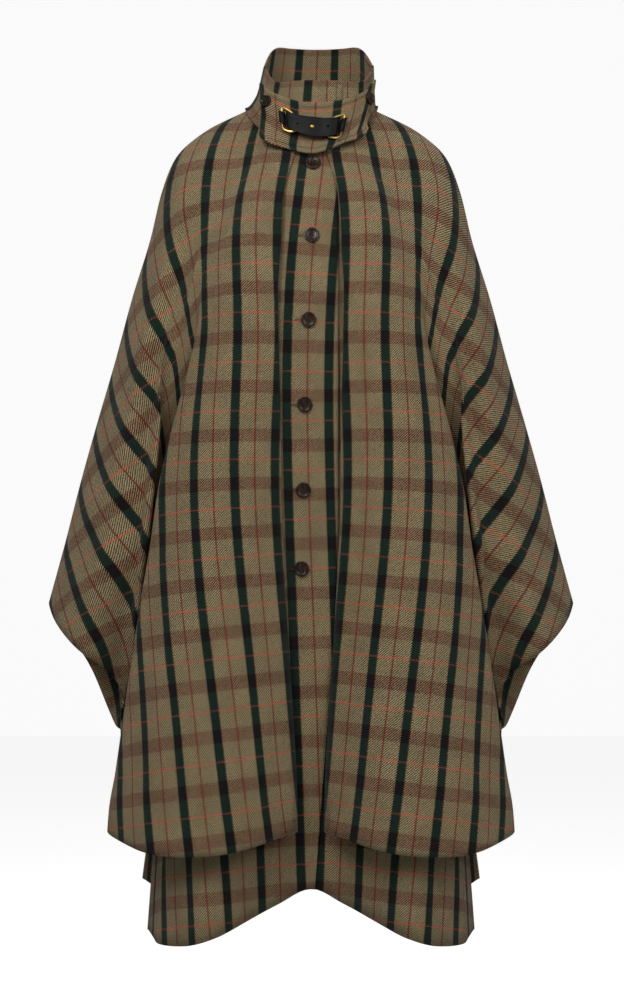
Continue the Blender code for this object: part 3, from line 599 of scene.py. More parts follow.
def woollen_twill():
    """Woollen estate tweed, woven in twill and lightly milled: matt, with a soft nap and a check."""
    made = bpy.data.materials.get("woollen twill")
    if made:
        return made
    check = bpy.context.scene.cape_coat_check
    material, tree, shader = new_material("woollen twill")
    grain = node(tree, "ShaderNodeUVMap", uv_map="grain")[0]
    # Yarns wander by about a fifth of a millimetre.
    wander = node(tree, "ShaderNodeTexNoise", {0: grain, "Scale": 260.0, "Detail": 2.0})
    shift = node(tree, "ShaderNodeVectorMath", {0: wander["Color"], 1: (0.5, 0.5, 0.5)},
                 operation="SUBTRACT")[0]
    shift = node(tree, "ShaderNodeVectorMath", {0: shift, "Scale": 0.0012}, operation="SCALE")[0]
    place = node(tree, "ShaderNodeVectorMath", {0: grain, 1: shift}, operation="ADD")[0]
    across, down = node(tree, "ShaderNodeSeparateXYZ", {0: place})[:2]

    # Ridges of the 2/2 twill, one to every four yarns of 0.85 mm; the share of weft on top also
    # shifts the stripes' edges into teeth. Noise scales are cells to a metre: the loose fibres are
    # 1.6 mm, drawn as coarse as they need to be to show, and the green flecks about 5 mm.
    slant = node(tree, "ShaderNodeMath", {0: down, 1: across}, operation="SUBTRACT")[0]
    turn = node(tree, "ShaderNodeMath", {0: slant, 1: math.tau / (check.twill * math.sqrt(2))},
                operation="MULTIPLY")[0]
    wave = node(tree, "ShaderNodeMath", {0: turn}, operation="SINE")[0]
    tooth = node(tree, "ShaderNodeMath", {0: wave, 1: TWILL_TOOTH, 2: across}, operation="MULTIPLY_ADD")[0]
    strands = node(tree, "ShaderNodeTexNoise", {0: grain, "Scale": 620.0, "Detail": 3.0})[0]
    stray = node(tree, "ShaderNodeMapRange", {0: strands, 1: 0.32, 2: 0.68, 3: -0.45, 4: 0.45})[0]
    weft = node(tree, "ShaderNodeMapRange", {0: wave, 1: -0.6, 2: 0.7})[0]
    weft = node(tree, "ShaderNodeMath", {0: weft, 1: stray}, operation="ADD", use_clamp=True)[0]
    # The share of each line of the check: green and red in the warp, coral and brown in the weft.
    lines = []
    for way, repeat, width, halfway in ((tooth, check.across, check.green_width, 0),
                                        (across, check.across, check.red_width, 1),
                                        (down, check.down, check.coral_width, 0),
                                        (down, check.down, check.brown_width, 1)):
        start = node(tree, "ShaderNodeMath", {0: way, 1: halfway * repeat / 2}, operation="ADD")[0]
        off = node(tree, "ShaderNodeMath", {0: start, 1: repeat / 2}, operation="PINGPONG")[0]
        ends = {0: off, 1: width / 2 + STRIPE_BLUR, 2: width / 2 - STRIPE_BLUR}
        lines.append(node(tree, "ShaderNodeMapRange", ends)[0])
    green, red, coral, brown = lines
    cloth = node(tree, "ShaderNodeMix", {0: weft, 6: tuple(check.light), 7: tuple(check.dark)},
                 data_type="RGBA")[2]
    flecks = node(tree, "ShaderNodeTexNoise", {0: grain, "Scale": 190.0, "Detail": 2.0})[0]
    greenish = node(tree, "ShaderNodeMapRange", {0: flecks, 1: 0.52, 2: 0.72, 4: 0.4})[0]
    cloth = node(tree, "ShaderNodeMix", {0: greenish, 6: cloth, 7: linear("#6d6c4b")}, data_type="RGBA")[2]
    # Where the weft lies on top, a weft line shows more and a warp line less.
    for share, low, high, colour in ((brown, 0.25, 1.0, check.brown), (red, 0.95, 0.4, check.red),
                                     (coral, 0.5, 1.0, check.coral)):
        seen = node(tree, "ShaderNodeMapRange", {0: weft, 3: low, 4: high})[0]
        share = node(tree, "ShaderNodeMath", {0: share, 1: seen}, operation="MULTIPLY")[0]
        cloth = node(tree, "ShaderNodeMix", {0: share, 6: cloth, 7: tuple(colour)}, data_type="RGBA")[2]
    dark = node(tree, "ShaderNodeMix", {0: brown, 6: tuple(check.green), 7: tuple(check.crossing)},
                data_type="RGBA")[2]
    dashes = node(tree, "ShaderNodeMath", {0: coral, 1: weft}, operation="MULTIPLY")[0]
    over = node(tree, "ShaderNodeMapRange", {0: dashes, 3: 0.97, 4: 0.55})[0]
    share = node(tree, "ShaderNodeMath", {0: green, 1: over}, operation="MULTIPLY")[0]
    cloth = node(tree, "ShaderNodeMix", {0: share, 6: cloth, 7: dark}, data_type="RGBA")[2]
    # Uneven dyeing and nap, seen over a few centimetres, and a row of sewing along the edges, pressed in as
    # a groove with painted shade darkening it.
    cloud = node(tree, "ShaderNodeTexNoise", {0: grain, "Scale": 26.0, "Detail": 3.0})[0]
    value = node(tree, "ShaderNodeMapRange", {0: cloud, 1: 0.3, 2: 0.7, 3: 0.86, 4: 1.1})[0]
    edge = node(tree, "ShaderNodeAttribute", attribute_name="edge")["Fac"]
    # Painted shade: along the sewing line the cloth is darkened to 0.68, standing in for the shade in its
    # groove; the same line also presses in the groove.
    sewing_groove_shade = node(tree, "ShaderNodeMath", {0: edge, 1: SEWN_IN, 2: SEWN_HALF_WIDTH}, operation="COMPARE")[0]
    sewing_groove_shade = node(tree, "ShaderNodeMapRange", {0: sewing_groove_shade, 3: 1.0, 4: 0.68})[0]
    value = node(tree, "ShaderNodeMath", {0: value, 1: sewing_groove_shade}, operation="MULTIPLY")[0]
    cloth = node(tree, "ShaderNodeVectorMath", {0: cloth, "Scale": value}, operation="SCALE")[0]
    tree.links.new(cloth, shader.inputs["Base Color"])
    height = node(tree, "ShaderNodeMath", {0: strands, 1: 1.1, 2: weft}, operation="MULTIPLY_ADD")[0]
    height = node(tree, "ShaderNodeMath", {0: sewing_groove_shade, 1: 4.0, 2: height}, operation="MULTIPLY_ADD")[0]
    bump = node(tree, "ShaderNodeBump", {"Height": height, "Strength": 0.6, "Distance": 0.0007})[0]
    tree.links.new(bump, shader.inputs["Normal"])
    shader.inputs["Roughness"].default_value = 0.92
    shader.inputs["Specular IOR Level"].default_value = 0.15
    shader.inputs["Sheen Weight"].default_value = 0.12
    shader.inputs["Sheen Roughness"].default_value = 0.5
    return material


def bridle_leather():
    """Black bridle leather, dyed and waxed: a close grain of about 0.6 mm with a low polish."""
    material, tree, shader = new_material("black bridle leather")
    place = node(tree, "ShaderNodeTexCoord")["Object"]
    grain = node(tree, "ShaderNodeTexVoronoi", {0: place, "Scale": 1600.0})[0]
    worn = node(tree, "ShaderNodeTexNoise", {0: place, "Scale": 120.0, "Detail": 4.0})[0]
    colour = tuple(bpy.context.scene.cape_coat_trim.leather)
    shade = node(tree, "ShaderNodeMapRange", {0: worn, 1: 0.4, 2: 0.75, 3: 0.8, 4: 1.3})[0]
    tone = node(tree, "ShaderNodeVectorMath", {0: colour[:3], "Scale": shade}, operation="SCALE")[0]
    tree.links.new(tone, shader.inputs["Base Color"])
    rough = node(tree, "ShaderNodeMapRange", {0: worn, 3: 0.38, 4: 0.55})[0]
    tree.links.new(rough, shader.inputs["Roughness"])
    shader.inputs["Specular IOR Level"].default_value = 0.2
    bump = node(tree, "ShaderNodeBump", {"Height": grain, "Strength": 0.2, "Distance": 0.0003})[0]
    tree.links.new(bump, shader.inputs["Normal"])
    return material


def polished_brass():
    """Cast brass, polished and lacquered: yellow, with slightly uneven gloss."""
    material, tree, shader = new_material("polished brass")
    place = node(tree, "ShaderNodeTexCoord")["Object"]
    haze = node(tree, "ShaderNodeTexNoise", {0: place, "Scale": 300.0, "Detail": 3.0})[0]
    rough = node(tree, "ShaderNodeMapRange", {0: haze, 3: 0.2, 4: 0.36})[0]
    tree.links.new(rough, shader.inputs["Roughness"])
    shader.inputs["Base Color"].default_value = bpy.context.scene.cape_coat_trim.brass
    shader.inputs["Metallic"].default_value = 1.0
    return material


def dark_horn():
    """Buffalo horn, turned and polished: near black brown with paler streaks a few millimetres long."""
    trim = bpy.context.scene.cape_coat_trim
    material, tree, shader = new_material("dark horn")
    place = node(tree, "ShaderNodeTexCoord")["Object"]
    drawn = node(tree, "ShaderNodeMapping", {0: place, "Scale": (1.0, 1.0, 0.35)})[0]
    streak = node(tree, "ShaderNodeTexNoise",
                  {0: drawn, "Scale": 330.0, "Detail": 4.0, "Distortion": 1.2})[0]
    share = node(tree, "ShaderNodeMapRange", {0: streak, 1: 0.45, 2: 0.7})[0]
    tone = node(tree, "ShaderNodeMix", {0: share, 6: tuple(trim.horn), 7: tuple(trim.horn_streak)},
                data_type="RGBA")[2]
    tree.links.new(tone, shader.inputs["Base Color"])
    rough = node(tree, "ShaderNodeMapRange", {0: streak, 3: 0.16, 4: 0.3})[0]
    tree.links.new(rough, shader.inputs["Roughness"])
    return material


def linen_thread():
    """Waxed linen thread, twisted: matt brown with a fine ply."""
    material, tree, shader = new_material("linen thread")
    place = node(tree, "ShaderNodeTexCoord")["Object"]
    ply = node(tree, "ShaderNodeTexWave", {0: place, "Scale": 700.0, "Distortion": 2.0})[0]
    tone = node(tree, "ShaderNodeMix", {0: ply, 6: linear("#2a211b"), 7: linear("#4a3b2e")},
                data_type="RGBA")[2]
    tree.links.new(tone, shader.inputs["Base Color"])
    shader.inputs["Roughness"].default_value = 0.8
    return material


# Millimetres from an edge that has no sewing, and between rows that are only made up for a slope.
FAR_FROM_EDGE = 999.0
ROW_DROP = 4.0
# Shares of a crease's length where it sets in and dies out, unless it runs on to the hem.
CREASE_SETS_IN = (0.0, 0.3)
CREASE_DIES_OUT = (0.75, 1.0)
CREASE_AT_HEM = 0.94
# Creases placed on the cloth, from one place to another in shares of the rows and columns;
# a positive depth is a trough and a negative one a ridge.
Crease = namedtuple("Crease", "row col end_row end_col width depth")
FRONT_CREASES = [Crease(*row) for row in (
    (0.10, 0.10, 0.46, 0.17, 0.020, 2.2),
    (0.16, 0.24, 0.60, 0.27, 0.026, -2.4),
    (0.30, 0.33, 0.95, 0.31, 0.024, 2.8),
    (0.48, 0.10, 0.98, 0.13, 0.022, -2.0),
    (0.56, 0.20, 0.99, 0.22, 0.018, 2.2),
    (0.12, 0.52, 0.34, 0.66, 0.028, 2.6),
    (0.24, 0.662, 0.84, 0.676, 0.028, 18.0),
    (0.20, 0.64, 0.52, 0.78, 0.024, 2.2),
    (0.40, 0.70, 0.74, 0.90, 0.026, -2.6),
    (0.50, 0.68, 0.78, 0.82, 0.020, 2.4),
)]
BACK_CREASES = [Crease(*row) for row in (
    (0.10, 0.42, 0.55, 0.40, 0.016, 2.4),
    (0.14, 0.58, 0.62, 0.60, 0.018, 2.2),
    (0.30, 0.50, 0.98, 0.49, 0.020, -3.0),
    (0.34, 0.345, 0.97, 0.355, 0.016, 3.0),
    (0.40, 0.655, 0.98, 0.645, 0.015, 3.2),
    (0.50, 0.44, 0.99, 0.45, 0.014, 2.2),
    (0.55, 0.56, 0.96, 0.55, 0.014, 2.0),
    (0.16, 0.24, 0.50, 0.14, 0.016, 2.4),
    (0.18, 0.76, 0.48, 0.85, 0.016, 2.6),
    (0.42, 0.18, 0.74, 0.10, 0.014, -2.4),
    (0.40, 0.82, 0.72, 0.90, 0.014, -2.2),
)]
COAT_FRONT_CREASES = [Crease(*row) for row in (
    (0.72, 0.42, 1.02, 0.45, 0.050, 3.0),
    (0.76, 0.60, 1.02, 0.62, 0.045, -3.0),
    (0.80, 0.76, 1.02, 0.80, 0.045, 2.6),
    (0.30, 0.50, 0.60, 0.55, 0.060, 1.6),
)]
COAT_BACK_CREASES = [Crease(*row) for row in (
    (0.60, 0.36, 1.02, 0.34, 0.030, 3.0),
    (0.66, 0.50, 1.02, 0.51, 0.034, -2.6),
    (0.62, 0.65, 1.02, 0.67, 0.030, 2.8),
    (0.70, 0.20, 1.02, 0.17, 0.028, -2.4),
    (0.70, 0.82, 1.02, 0.84, 0.028, -2.2),
)]
COLLAR_CREASES = [Crease(*row) for row in (
    (0.20, 0.10, 0.72, 0.14, 0.030, 1.0),
    (0.30, 0.82, 0.70, 0.80, 0.028, 1.0),
    (0.30, 0.46, 0.62, 0.52, 0.034, 0.8),
)]
BAND_CREASES = [Crease(*row) for row in (
    (0.10, 0.20, 0.40, 0.30, 0.060, 0.7),
    (0.15, 0.78, 0.42, 0.70, 0.060, 0.7),
)]


def grid_normals(grid, outward):
    rows = np.gradient(grid, axis=0)
    columns = np.gradient(grid, axis=1)
    ways = np.cross(columns, rows) * -outward
    return ways / np.maximum(np.linalg.norm(ways, axis=2, keepdims=True), 1e-9)


def creased(grid, creases, outward):
    """The grid with its creases pressed in along the way out of the cloth."""
    rows, columns = grid.shape[:2]
    filled = grid.copy()
    for row in range(1, rows):
        gone = np.isnan(filled[row, :, 0])
        filled[row, gone] = filled[row - 1, gone] + (0.0, 0.0, -ROW_DROP)
    normals = grid_normals(filled, outward)
    row_share, column_share = np.meshgrid(np.linspace(0, 1, rows), np.linspace(0, 1, columns), indexing="ij")
    depth = np.zeros((rows, columns))
    for crease in creases:
        along = np.array([crease.end_row - crease.row, crease.end_col - crease.col])
        share = (row_share - crease.row) / along[0]
        middle = crease.col + along[1] * np.clip(share, 0, 1)
        off = (column_share - middle) / crease.width
        dying = ease(*CREASE_DIES_OUT, share) * (crease.end_row < CREASE_AT_HEM)
        fade = ease(*CREASE_SETS_IN, share) * (1 - dying)
        depth += crease.depth * np.exp(-off * off) * fade
    return grid - normals * depth[:, :, None]


def run_lengths(grid, axis):
    """Length from the first point to each point, down the columns (0) or along the rows (1)."""
    spans = np.linalg.norm(np.diff(grid, axis=axis), axis=2)
    return np.insert(np.cumsum(spans, axis=axis), 0, 0.0, axis=axis)


def edge_distance(grid, edges):
    """Distance of each point from the nearest of the named edges, along its row or column."""
    across, down = run_lengths(grid, 1), run_lengths(grid, 0)
    ways = {"start": across, "end": across[:, -1:] - across, "top": down, "hem": down[-1:] - down}
    return np.min([np.full(grid.shape[:2], FAR_FROM_EDGE)] + [ways[edge] for edge in edges], axis=0)


def arc_grain(grid, row):
    """Grain that follows the rows and columns: lengths along one row, and down each column."""
    return np.dstack([np.tile(run_lengths(grid, 1)[row], (len(grid), 1)), -run_lengths(grid, 0)])


def only(item):
    """Makes one object the only selected one, and the active one."""
    bpy.ops.object.select_all(action="DESELECT")
    item.select_set(True)
    bpy.context.view_layer.objects.active = item


def edit_only(item, action="DESELECT"):
    """Opens one object in edit mode, with nothing or everything in it selected."""
    only(item)
    bpy.ops.object.mode_set(mode="EDIT")
    bpy.ops.mesh.select_all(action=action)


def flattened(mesh_object, index, spine):
    """Lays the cloth flat with least stretch, with the spine's points upright, in millimetres."""
    edit_only(mesh_object, "SELECT")
    bpy.ops.uv.unwrap(method="MINIMUM_STRETCH", margin=0.0)
    bpy.ops.object.mode_set(mode="OBJECT")
    mesh = mesh_object.data
    loops = np.zeros(len(mesh.loops), int)
    mesh.loops.foreach_get("vertex_index", loops)
    laid = np.zeros(2 * len(loops), np.float32)
    mesh.uv_layers["grain"].data.foreach_get("uv", laid)
    flat = np.zeros((len(mesh.vertices), 2))
    flat[loops] = laid.reshape(-1, 2)
    solid_area = sum(polygon.area for polygon in mesh.polygons)
    corners = np.array([flat[list(polygon.vertices)] for polygon in mesh.polygons])
    first, second = corners[:, 2] - corners[:, 0], corners[:, 3] - corners[:, 1]
    signed = 0.5 * (first[:, 0] * second[:, 1] - first[:, 1] * second[:, 0]).sum()
    if signed < 0:
        flat[:, 0] *= -1
    flat *= math.sqrt(solid_area / abs(signed)) / MM
    top, low = flat[index[spine[0]]], flat[index[spine[1]]]
    up = unit(top - low)
    return flat @ np.array([[up[1], up[0]], [-up[0], up[1]]])


def wing_turned(flat, grid, outward):
    """Turns the grain on the wing, where the cloth hangs askew; the change hides in the fold."""
    start = sum(PANEL_STEPS[:3]) + WING_GRAIN_COLUMNS[0]
    end = sum(PANEL_STEPS) + WING_GRAIN_COLUMNS[1]
    rows, columns = np.indices(grid.shape[:2])
    share = ease(start, end, columns) * ease(*WING_GRAIN_ROWS, rows)
    share = share[~np.isnan(grid[:, :, 0])][:, None]
    facing = np.array([outward, 1.0])
    turned = (flat * facing) @ np.array(WING_GRAIN).T + np.array(WING_GRAIN_START)
    return blend(flat, turned * facing, share)


def sheet_object(name, grid, outward, pin, edges=(), grain=None, spine=None, wing=False):
    """One cloth piece from a grid of outer points, with its grain as a UV map, and its flat size.

    pin is a point of the piece and the grain it has there, both in millimetres. The flat size and
    the UV map are in metres.
    """
    real = ~np.isnan(grid[:, :, 0])
    index = np.full(grid.shape[:2], -1)
    index[real] = np.arange(real.sum())
    rows, columns = grid.shape[:2]
    quads = []
    for row in range(rows - 1):
        for column in range(columns - 1):
            quad = [index[row, column], index[row, column + 1],
                    index[row + 1, column + 1], index[row + 1, column]]
            if min(quad) >= 0:
                quads.append(quad if outward > 0 else quad[::-1])
    mesh = bpy.data.meshes.new(name)
    mesh.from_pydata((grid[real] * MM).tolist(), [], quads)
    mesh.update()
    item = bpy.data.objects.new(name, mesh)
    bpy.context.collection.objects.link(item)
    mesh.uv_layers.new(name="grain")
    flat = flattened(item, index, spine) if grain is None else grain[real]
    here = np.argmin(((grid[real] - np.array(pin[0])) ** 2 * np.array(PIN_WEIGHT)).sum(axis=1))
    flat = flat - flat[here] + np.array(pin[1])
    cut = tuple(float(size) * MM for size in flat.max(axis=0) - flat.min(axis=0))
    if wing:
        flat = wing_turned(flat, grid, outward)
    loops = np.zeros(len(mesh.loops), int)
    mesh.loops.foreach_get("vertex_index", loops)
    mesh.uv_layers["grain"].data.foreach_set("uv", (flat[loops] * MM).astype(np.float32).ravel())
    edge = mesh.attributes.new("edge", "FLOAT", "POINT")
    edge.data.foreach_set("value", (edge_distance(grid, edges)[real] * MM).astype(np.float32))
    return item, cut


def apply_modifier(item, kind, **settings):
    only(item)
    made = item.modifiers.new("step", kind)
    for name, value in settings.items():
        setattr(made, name, value)
    bpy.ops.object.modifier_apply(modifier="step")


def place_piece(item, node_name):
    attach(item, "root")
    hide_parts(node_name)


def cloth_piece(node_name, wall, grid, outward, pin, **laid):
    """Makes a cloth piece with a wall inside its outer face, and gives it its place in the frame."""
    item, cut = sheet_object(node_name + "_cloth", grid, outward, pin, **laid)
    only(item)
    bpy.ops.object.shade_smooth()
    apply_modifier(item, "SOLIDIFY", thickness=wall * MM, offset=-1.0)
    item.data.materials.append(woollen_twill())
    place_piece(item, node_name)


# How the check lies: each piece has one point pinned to a place in the check, given as
# millimetres across from a green stripe and down from a coral line; depth counts little.
PIN_WEIGHT = (1.0, 0.05, 1.0)
CAPE_PIN = (-62.0, -150.0, -456.0)
CAPE_PIN_GRAIN = (-14.0, 0.0)
CAPE_BACK_PIN = (0.0, 150.0, -456.0)
COAT_PIN = (27.0, -140.0, -459.0)
COAT_BACK_PIN = (0.0, 140.0, -464.0)
COLLAR_PIN = (10.0, 72.0, 100.0)
COLLAR_PIN_GRAIN = (27.0, 14.0)
BAND_PIN = (5.0, -105.0, 11.0)
# Two points of each piece, by row and column, stay one above the other when it is laid flat.
CAPE_FRONT_SPINE = ((30, 0), (80, 0))
CAPE_BACK_SPINE_ROWS = (20, 80)
COAT_SPINE_ROWS = (10, 60)
# On the wing the grain is turned and scaled by this matrix and then moved, from these rows down and
# between these columns, counted from the roll and from the side line.
WING_GRAIN = ((0.824, 0.237), (-0.106, 0.885))
WING_GRAIN_START = (-107.3, 47.1)
WING_GRAIN_ROWS = (8, 30)
WING_GRAIN_COLUMNS = (4, 1)
# How far the front wing's lower edge is raised beside the fold, and the columns where that sets in
# and fades out again.
OPENING_TRIM = 30.0
TRIM_RISE = (0, 4)
TRIM_FALL = (7, 24)
# Rows and columns around the bottom of the arm opening where the walls are drawn apart.
OPENING_ROWS = 4.0
OPENING_COLUMNS = 5.0


def trimmed_wing(grid, side):
    """Raises the front wing's lower edge beside the fold, where the inside of the back wing shows."""
    after = np.arange(grid.shape[1]) - side
    trim = OPENING_TRIM * ease(*TRIM_RISE, after) * (1 - ease(*TRIM_FALL, after))
    rows = np.arange(ROWS_TO_OPENING + 1)
    lengths = run_lengths(grid[rows], 0)
    for column in range(side, grid.shape[1]):
        run, length = grid[rows, column], lengths[:, column]
        wanted = length * (1 - trim[column] / length[-1])
        for axis in range(3):
            grid[rows, column, axis] = np.interp(wanted, length, run[:, axis])


def softened_opening(grid, side, step):
    """Draws the four walls apart at the bottom of the arm opening, fading out over a few rows."""
    rows, columns = np.indices(grid.shape[:2])
    near = np.exp(-((rows - ROWS_TO_OPENING) / OPENING_ROWS) ** 2
                  - ((columns - side) / OPENING_COLUMNS) ** 2)
    grid[:, :, 1] += step * near


class CAPECOAT_OT_cape(bpy.types.Operator):
    """Makes the cape's two fronts and its back, with their wings"""
    bl_idname = "cape_coat.cape"
    bl_label = "Cape"

    def execute(self, context):
        side = sum(PANEL_STEPS)
        tip = side + sum(WING_STEPS)
        front = seam_gap(cape_half(False), tip, -SEAM / 2)
        front[ROWS_TO_OPENING + 1:, side, 1] -= SEAM / 2
        softened_opening(front, side, -OPENING_GAP)
        trimmed_wing(front, side)
        for name, grid, facing in (("cape_front_right", mirror(front), 1), ("cape_front_left", front, -1)):
            pin = np.array(CAPE_PIN) * (facing, 1, 1), np.array(CAPE_PIN_GRAIN) * (facing, 1)
            cloth_piece(name, CLOTH, creased(grid, FRONT_CREASES, facing), facing, pin,
                        spine=CAPE_FRONT_SPINE, wing=True)
        half = seam_gap(cape_half(True), tip, SEAM / 2)
        half[ROWS_TO_OPENING + 1:, side, 1] += SEAM / 2
        softened_opening(half, side, OPENING_GAP)
        whole = creased(both_halves(half), BACK_CREASES, 1)
        cloth_piece("cape_back", CLOTH, whole, 1, (CAPE_BACK_PIN, (0.0, 0.0)),
                    spine=[(row, tip) for row in CAPE_BACK_SPINE_ROWS])
        return {"FINISHED"}


class CAPECOAT_OT_coat(bpy.types.Operator):
    """Makes the coat's lapped fronts and its back"""
    bl_idname = "cape_coat.coat"
    bl_label = "Coat"

    def execute(self, context):
        last, middle = sum(COAT_FRONT_STEPS), sum(COAT_BACK_STEPS)
        over, under = [seam_gap(coat_front(on_top), last, -SEAM / 2) for on_top in (True, False)]
        spine = [(row, COAT_FRONT_STEPS[0]) for row in COAT_SPINE_ROWS]
        for name, grid, facing in (("coat_front_right", mirror(over), 1), ("coat_front_left", under, -1)):
            cloth_piece(name, CLOTH, creased(grid, COAT_FRONT_CREASES, facing), facing,
                        (COAT_PIN, (0.0, 0.0)), spine=spine)
        half = seam_gap(coat_half(True), middle, SEAM / 2)
        whole = creased(both_halves(half), COAT_BACK_CREASES, 1)
        cloth_piece("coat_back", CLOTH, whole, 1, (COAT_BACK_PIN, (0.0, 0.0)),
                    spine=[(row, middle) for row in COAT_SPINE_ROWS])
        return {"FINISHED"}


class CAPECOAT_OT_neckwear(bpy.types.Operator):
    """Makes the stand collar and the throat band"""
    bl_idname = "cape_coat.neckwear"
    bl_label = "Collar and band"

    def execute(self, context):
        grid = creased(collar_grid()[::-1], COLLAR_CREASES, -1)
        cloth_piece("stand_collar", COLLAR_CLOTH, grid, -1, (COLLAR_PIN, COLLAR_PIN_GRAIN),
                    edges=("start", "end", "top"), grain=arc_grain(grid, COLLAR_ROWS // 2))
        half_repeat = context.scene.cape_coat_check.across / MM / 2
        grid = creased(band_grid()[::-1], BAND_CREASES, -1)
        cloth_piece("throat_band", BAND_CLOTH, grid, -1, (BAND_PIN, (half_repeat, 0.0)),
                    edges=("start", "end", "top", "hem"), grain=arc_grain(grid, BAND_ROWS // 2))
        return {"FINISHED"}


def round_sharp_edges(angle, offset, segments):
    """Rounds the edges of the object in edit mode that are sharper than an angle in degrees."""
    bpy.ops.mesh.select_all(action="DESELECT")
    bpy.ops.mesh.edges_select_sharp(sharpness=math.radians(angle))
    bpy.ops.mesh.bevel(offset=offset * MM, segments=segments, affect="EDGES")


def copied_solid(node_name, name, bevel, material):
    """A copy of a solid with its triangles joined, its sharp edges rounded and its faces smooth."""
    item = bpy.data.objects.new(name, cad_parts[node_name].data.copy())
    bpy.context.collection.objects.link(item)
    item.data.materials.clear()
    item.data.materials.append(material)
    edit_only(item, "SELECT")
    bpy.ops.mesh.customdata_custom_splitnormals_clear()
    bpy.ops.mesh.remove_doubles(threshold=0.00001)
    bpy.ops.mesh.tris_convert_to_quads(face_threshold=math.radians(30), shape_threshold=math.radians(60))
    if bevel:
        round_sharp_edges(55, bevel, 2)
    bpy.ops.object.mode_set(mode="OBJECT")
    bpy.ops.object.shade_smooth_by_angle(angle=math.radians(40))
    return item


# Where the strap is punched, along it from its middle, and the punch's size and depth under its face.
STRAP_HOLES = (-17.7, 19.0)
STRAP_HOLE_RADIUS = 1.7
STRAP_HOLE_DEPTH = 3.2
STRAP_HOLE_SINK = 0.4


class CAPECOAT_OT_strap(bpy.types.Operator):
    """Makes the leather strap with its punched holes, its two rings, their loops and the stud"""
    bl_idname = "cape_coat.strap"
    bl_label = "Strap and rings"

    def execute(self, context):
        leather, brass = bridle_leather(), polished_brass()
        strap = copied_solid("strap", "strap_leather", 0.5, leather)
        level = STRAP_LIFT + WIRE + RING_PLAY + LEATHER
        for along in STRAP_HOLES:
            middle, top = on_band(along, 0.0, level - STRAP_HOLE_SINK), on_band(along, 0.0, level + 1.0)
            turn = Vector(top - middle).to_track_quat("Z", "Y").to_euler()
            bpy.ops.mesh.primitive_cylinder_add(vertices=20, radius=STRAP_HOLE_RADIUS * MM,
                                                depth=STRAP_HOLE_DEPTH * MM,
                                                location=Vector(middle * MM), rotation=turn)
            cutter = bpy.context.object
            apply_modifier(strap, "BOOLEAN", object=cutter, solver="EXACT")
            bpy.data.objects.remove(cutter)
        place_piece(strap, "strap")
        for side in ("left", "right"):
            ring = copied_solid("ring_" + side, "ring_%s_brass" % side, 0.0, brass)
            apply_modifier(ring, "SUBSURF", levels=2, render_levels=2)
            place_piece(ring, "ring_" + side)
            loop = copied_solid("ring_loop_" + side, "ring_loop_%s_leather" % side, 0.4, leather)
            place_piece(loop, "ring_loop_" + side)
        stud = copied_solid("strap_stud", "strap_stud_brass", 0.2, brass)
        apply_modifier(stud, "SUBSURF", levels=1, render_levels=1)
        place_piece(stud, "strap_stud")
        return {"FINISHED"}


# A button's raised rim, the slope inside it and the next slope, as shares of its radius.
BUTTON_INSETS = (0.26, 0.07, 0.3)
BUTTON_DISH = 0.3
BUTTON_EDGE = 0.55
BUTTON_HOLE_RADIUS = 0.95
BUTTON_HOLE_REACH = 2.0
THREAD_RADIUS = 0.5
THREAD_EDGE = 0.35
BUTTONHOLE_REACH = 10.5
BUTTONHOLE_THREAD = 0.7
BUTTONHOLE_NARROW = 0.13
BUTTONHOLE_SHIFT = -8.0
BUTTONHOLE_RISE = 0.6


def button_shape(radius, horn, linen):
    """A turned button with a raised rim, a dished middle and four sewn holes, at the origin."""
    bpy.ops.mesh.primitive_cylinder_add(vertices=48, radius=radius * MM, depth=BUTTON_THICK * MM,
                                        location=(0, 0, BUTTON_THICK * MM / 2))
    item = bpy.context.object
    bpy.ops.object.transform_apply()
    edit_only(item)
    shape = bmesh.from_edit_mesh(item.data)
    for face in shape.faces:
        face.select_set(face.normal.z > 0.9)
    bmesh.update_edit_mesh(item.data)
    for inset, drop in zip(BUTTON_INSETS, (0.0, BUTTON_RIM, BUTTON_DISH)):
        bpy.ops.mesh.inset(thickness=radius * inset * MM)
        bpy.ops.transform.translate(value=(0, 0, -drop * MM))
    round_sharp_edges(40, BUTTON_EDGE, 3)
    bpy.ops.object.mode_set(mode="OBJECT")
    holes = []
    for turn in range(4):
        way = math.radians(45 + 90 * turn)
        bpy.ops.mesh.primitive_cylinder_add(
            vertices=16, radius=BUTTON_HOLE_RADIUS * MM, depth=0.02,
            location=(BUTTON_HOLE_REACH * math.cos(way) * MM, BUTTON_HOLE_REACH * math.sin(way) * MM, 0))
        holes.append(bpy.context.object)
    for hole in holes:
        apply_modifier(item, "BOOLEAN", object=hole, solver="EXACT")
        bpy.data.objects.remove(hole)
    item.data.materials.append(horn)
    threads = []
    level = (BUTTON_THICK - BUTTON_RIM - 0.1) * MM
    for turn in (45, 135):
        bpy.ops.mesh.primitive_cylinder_add(vertices=10, radius=THREAD_RADIUS * MM,
                                            depth=2.2 * BUTTON_HOLE_REACH * MM, location=(0, 0, level),
                                            rotation=(math.pi / 2, 0, math.radians(turn)))
        thread = bpy.context.object
        edit_only(thread)
        round_sharp_edges(60, THREAD_EDGE, 2)
        bpy.ops.object.mode_set(mode="OBJECT")
        thread.data.materials.append(linen)
        threads.append(thread)
    only(item)
    for thread in threads:
        thread.select_set(True)
    bpy.ops.object.join()
    bpy.ops.object.shade_smooth_by_angle(angle=math.radians(45))
    return item


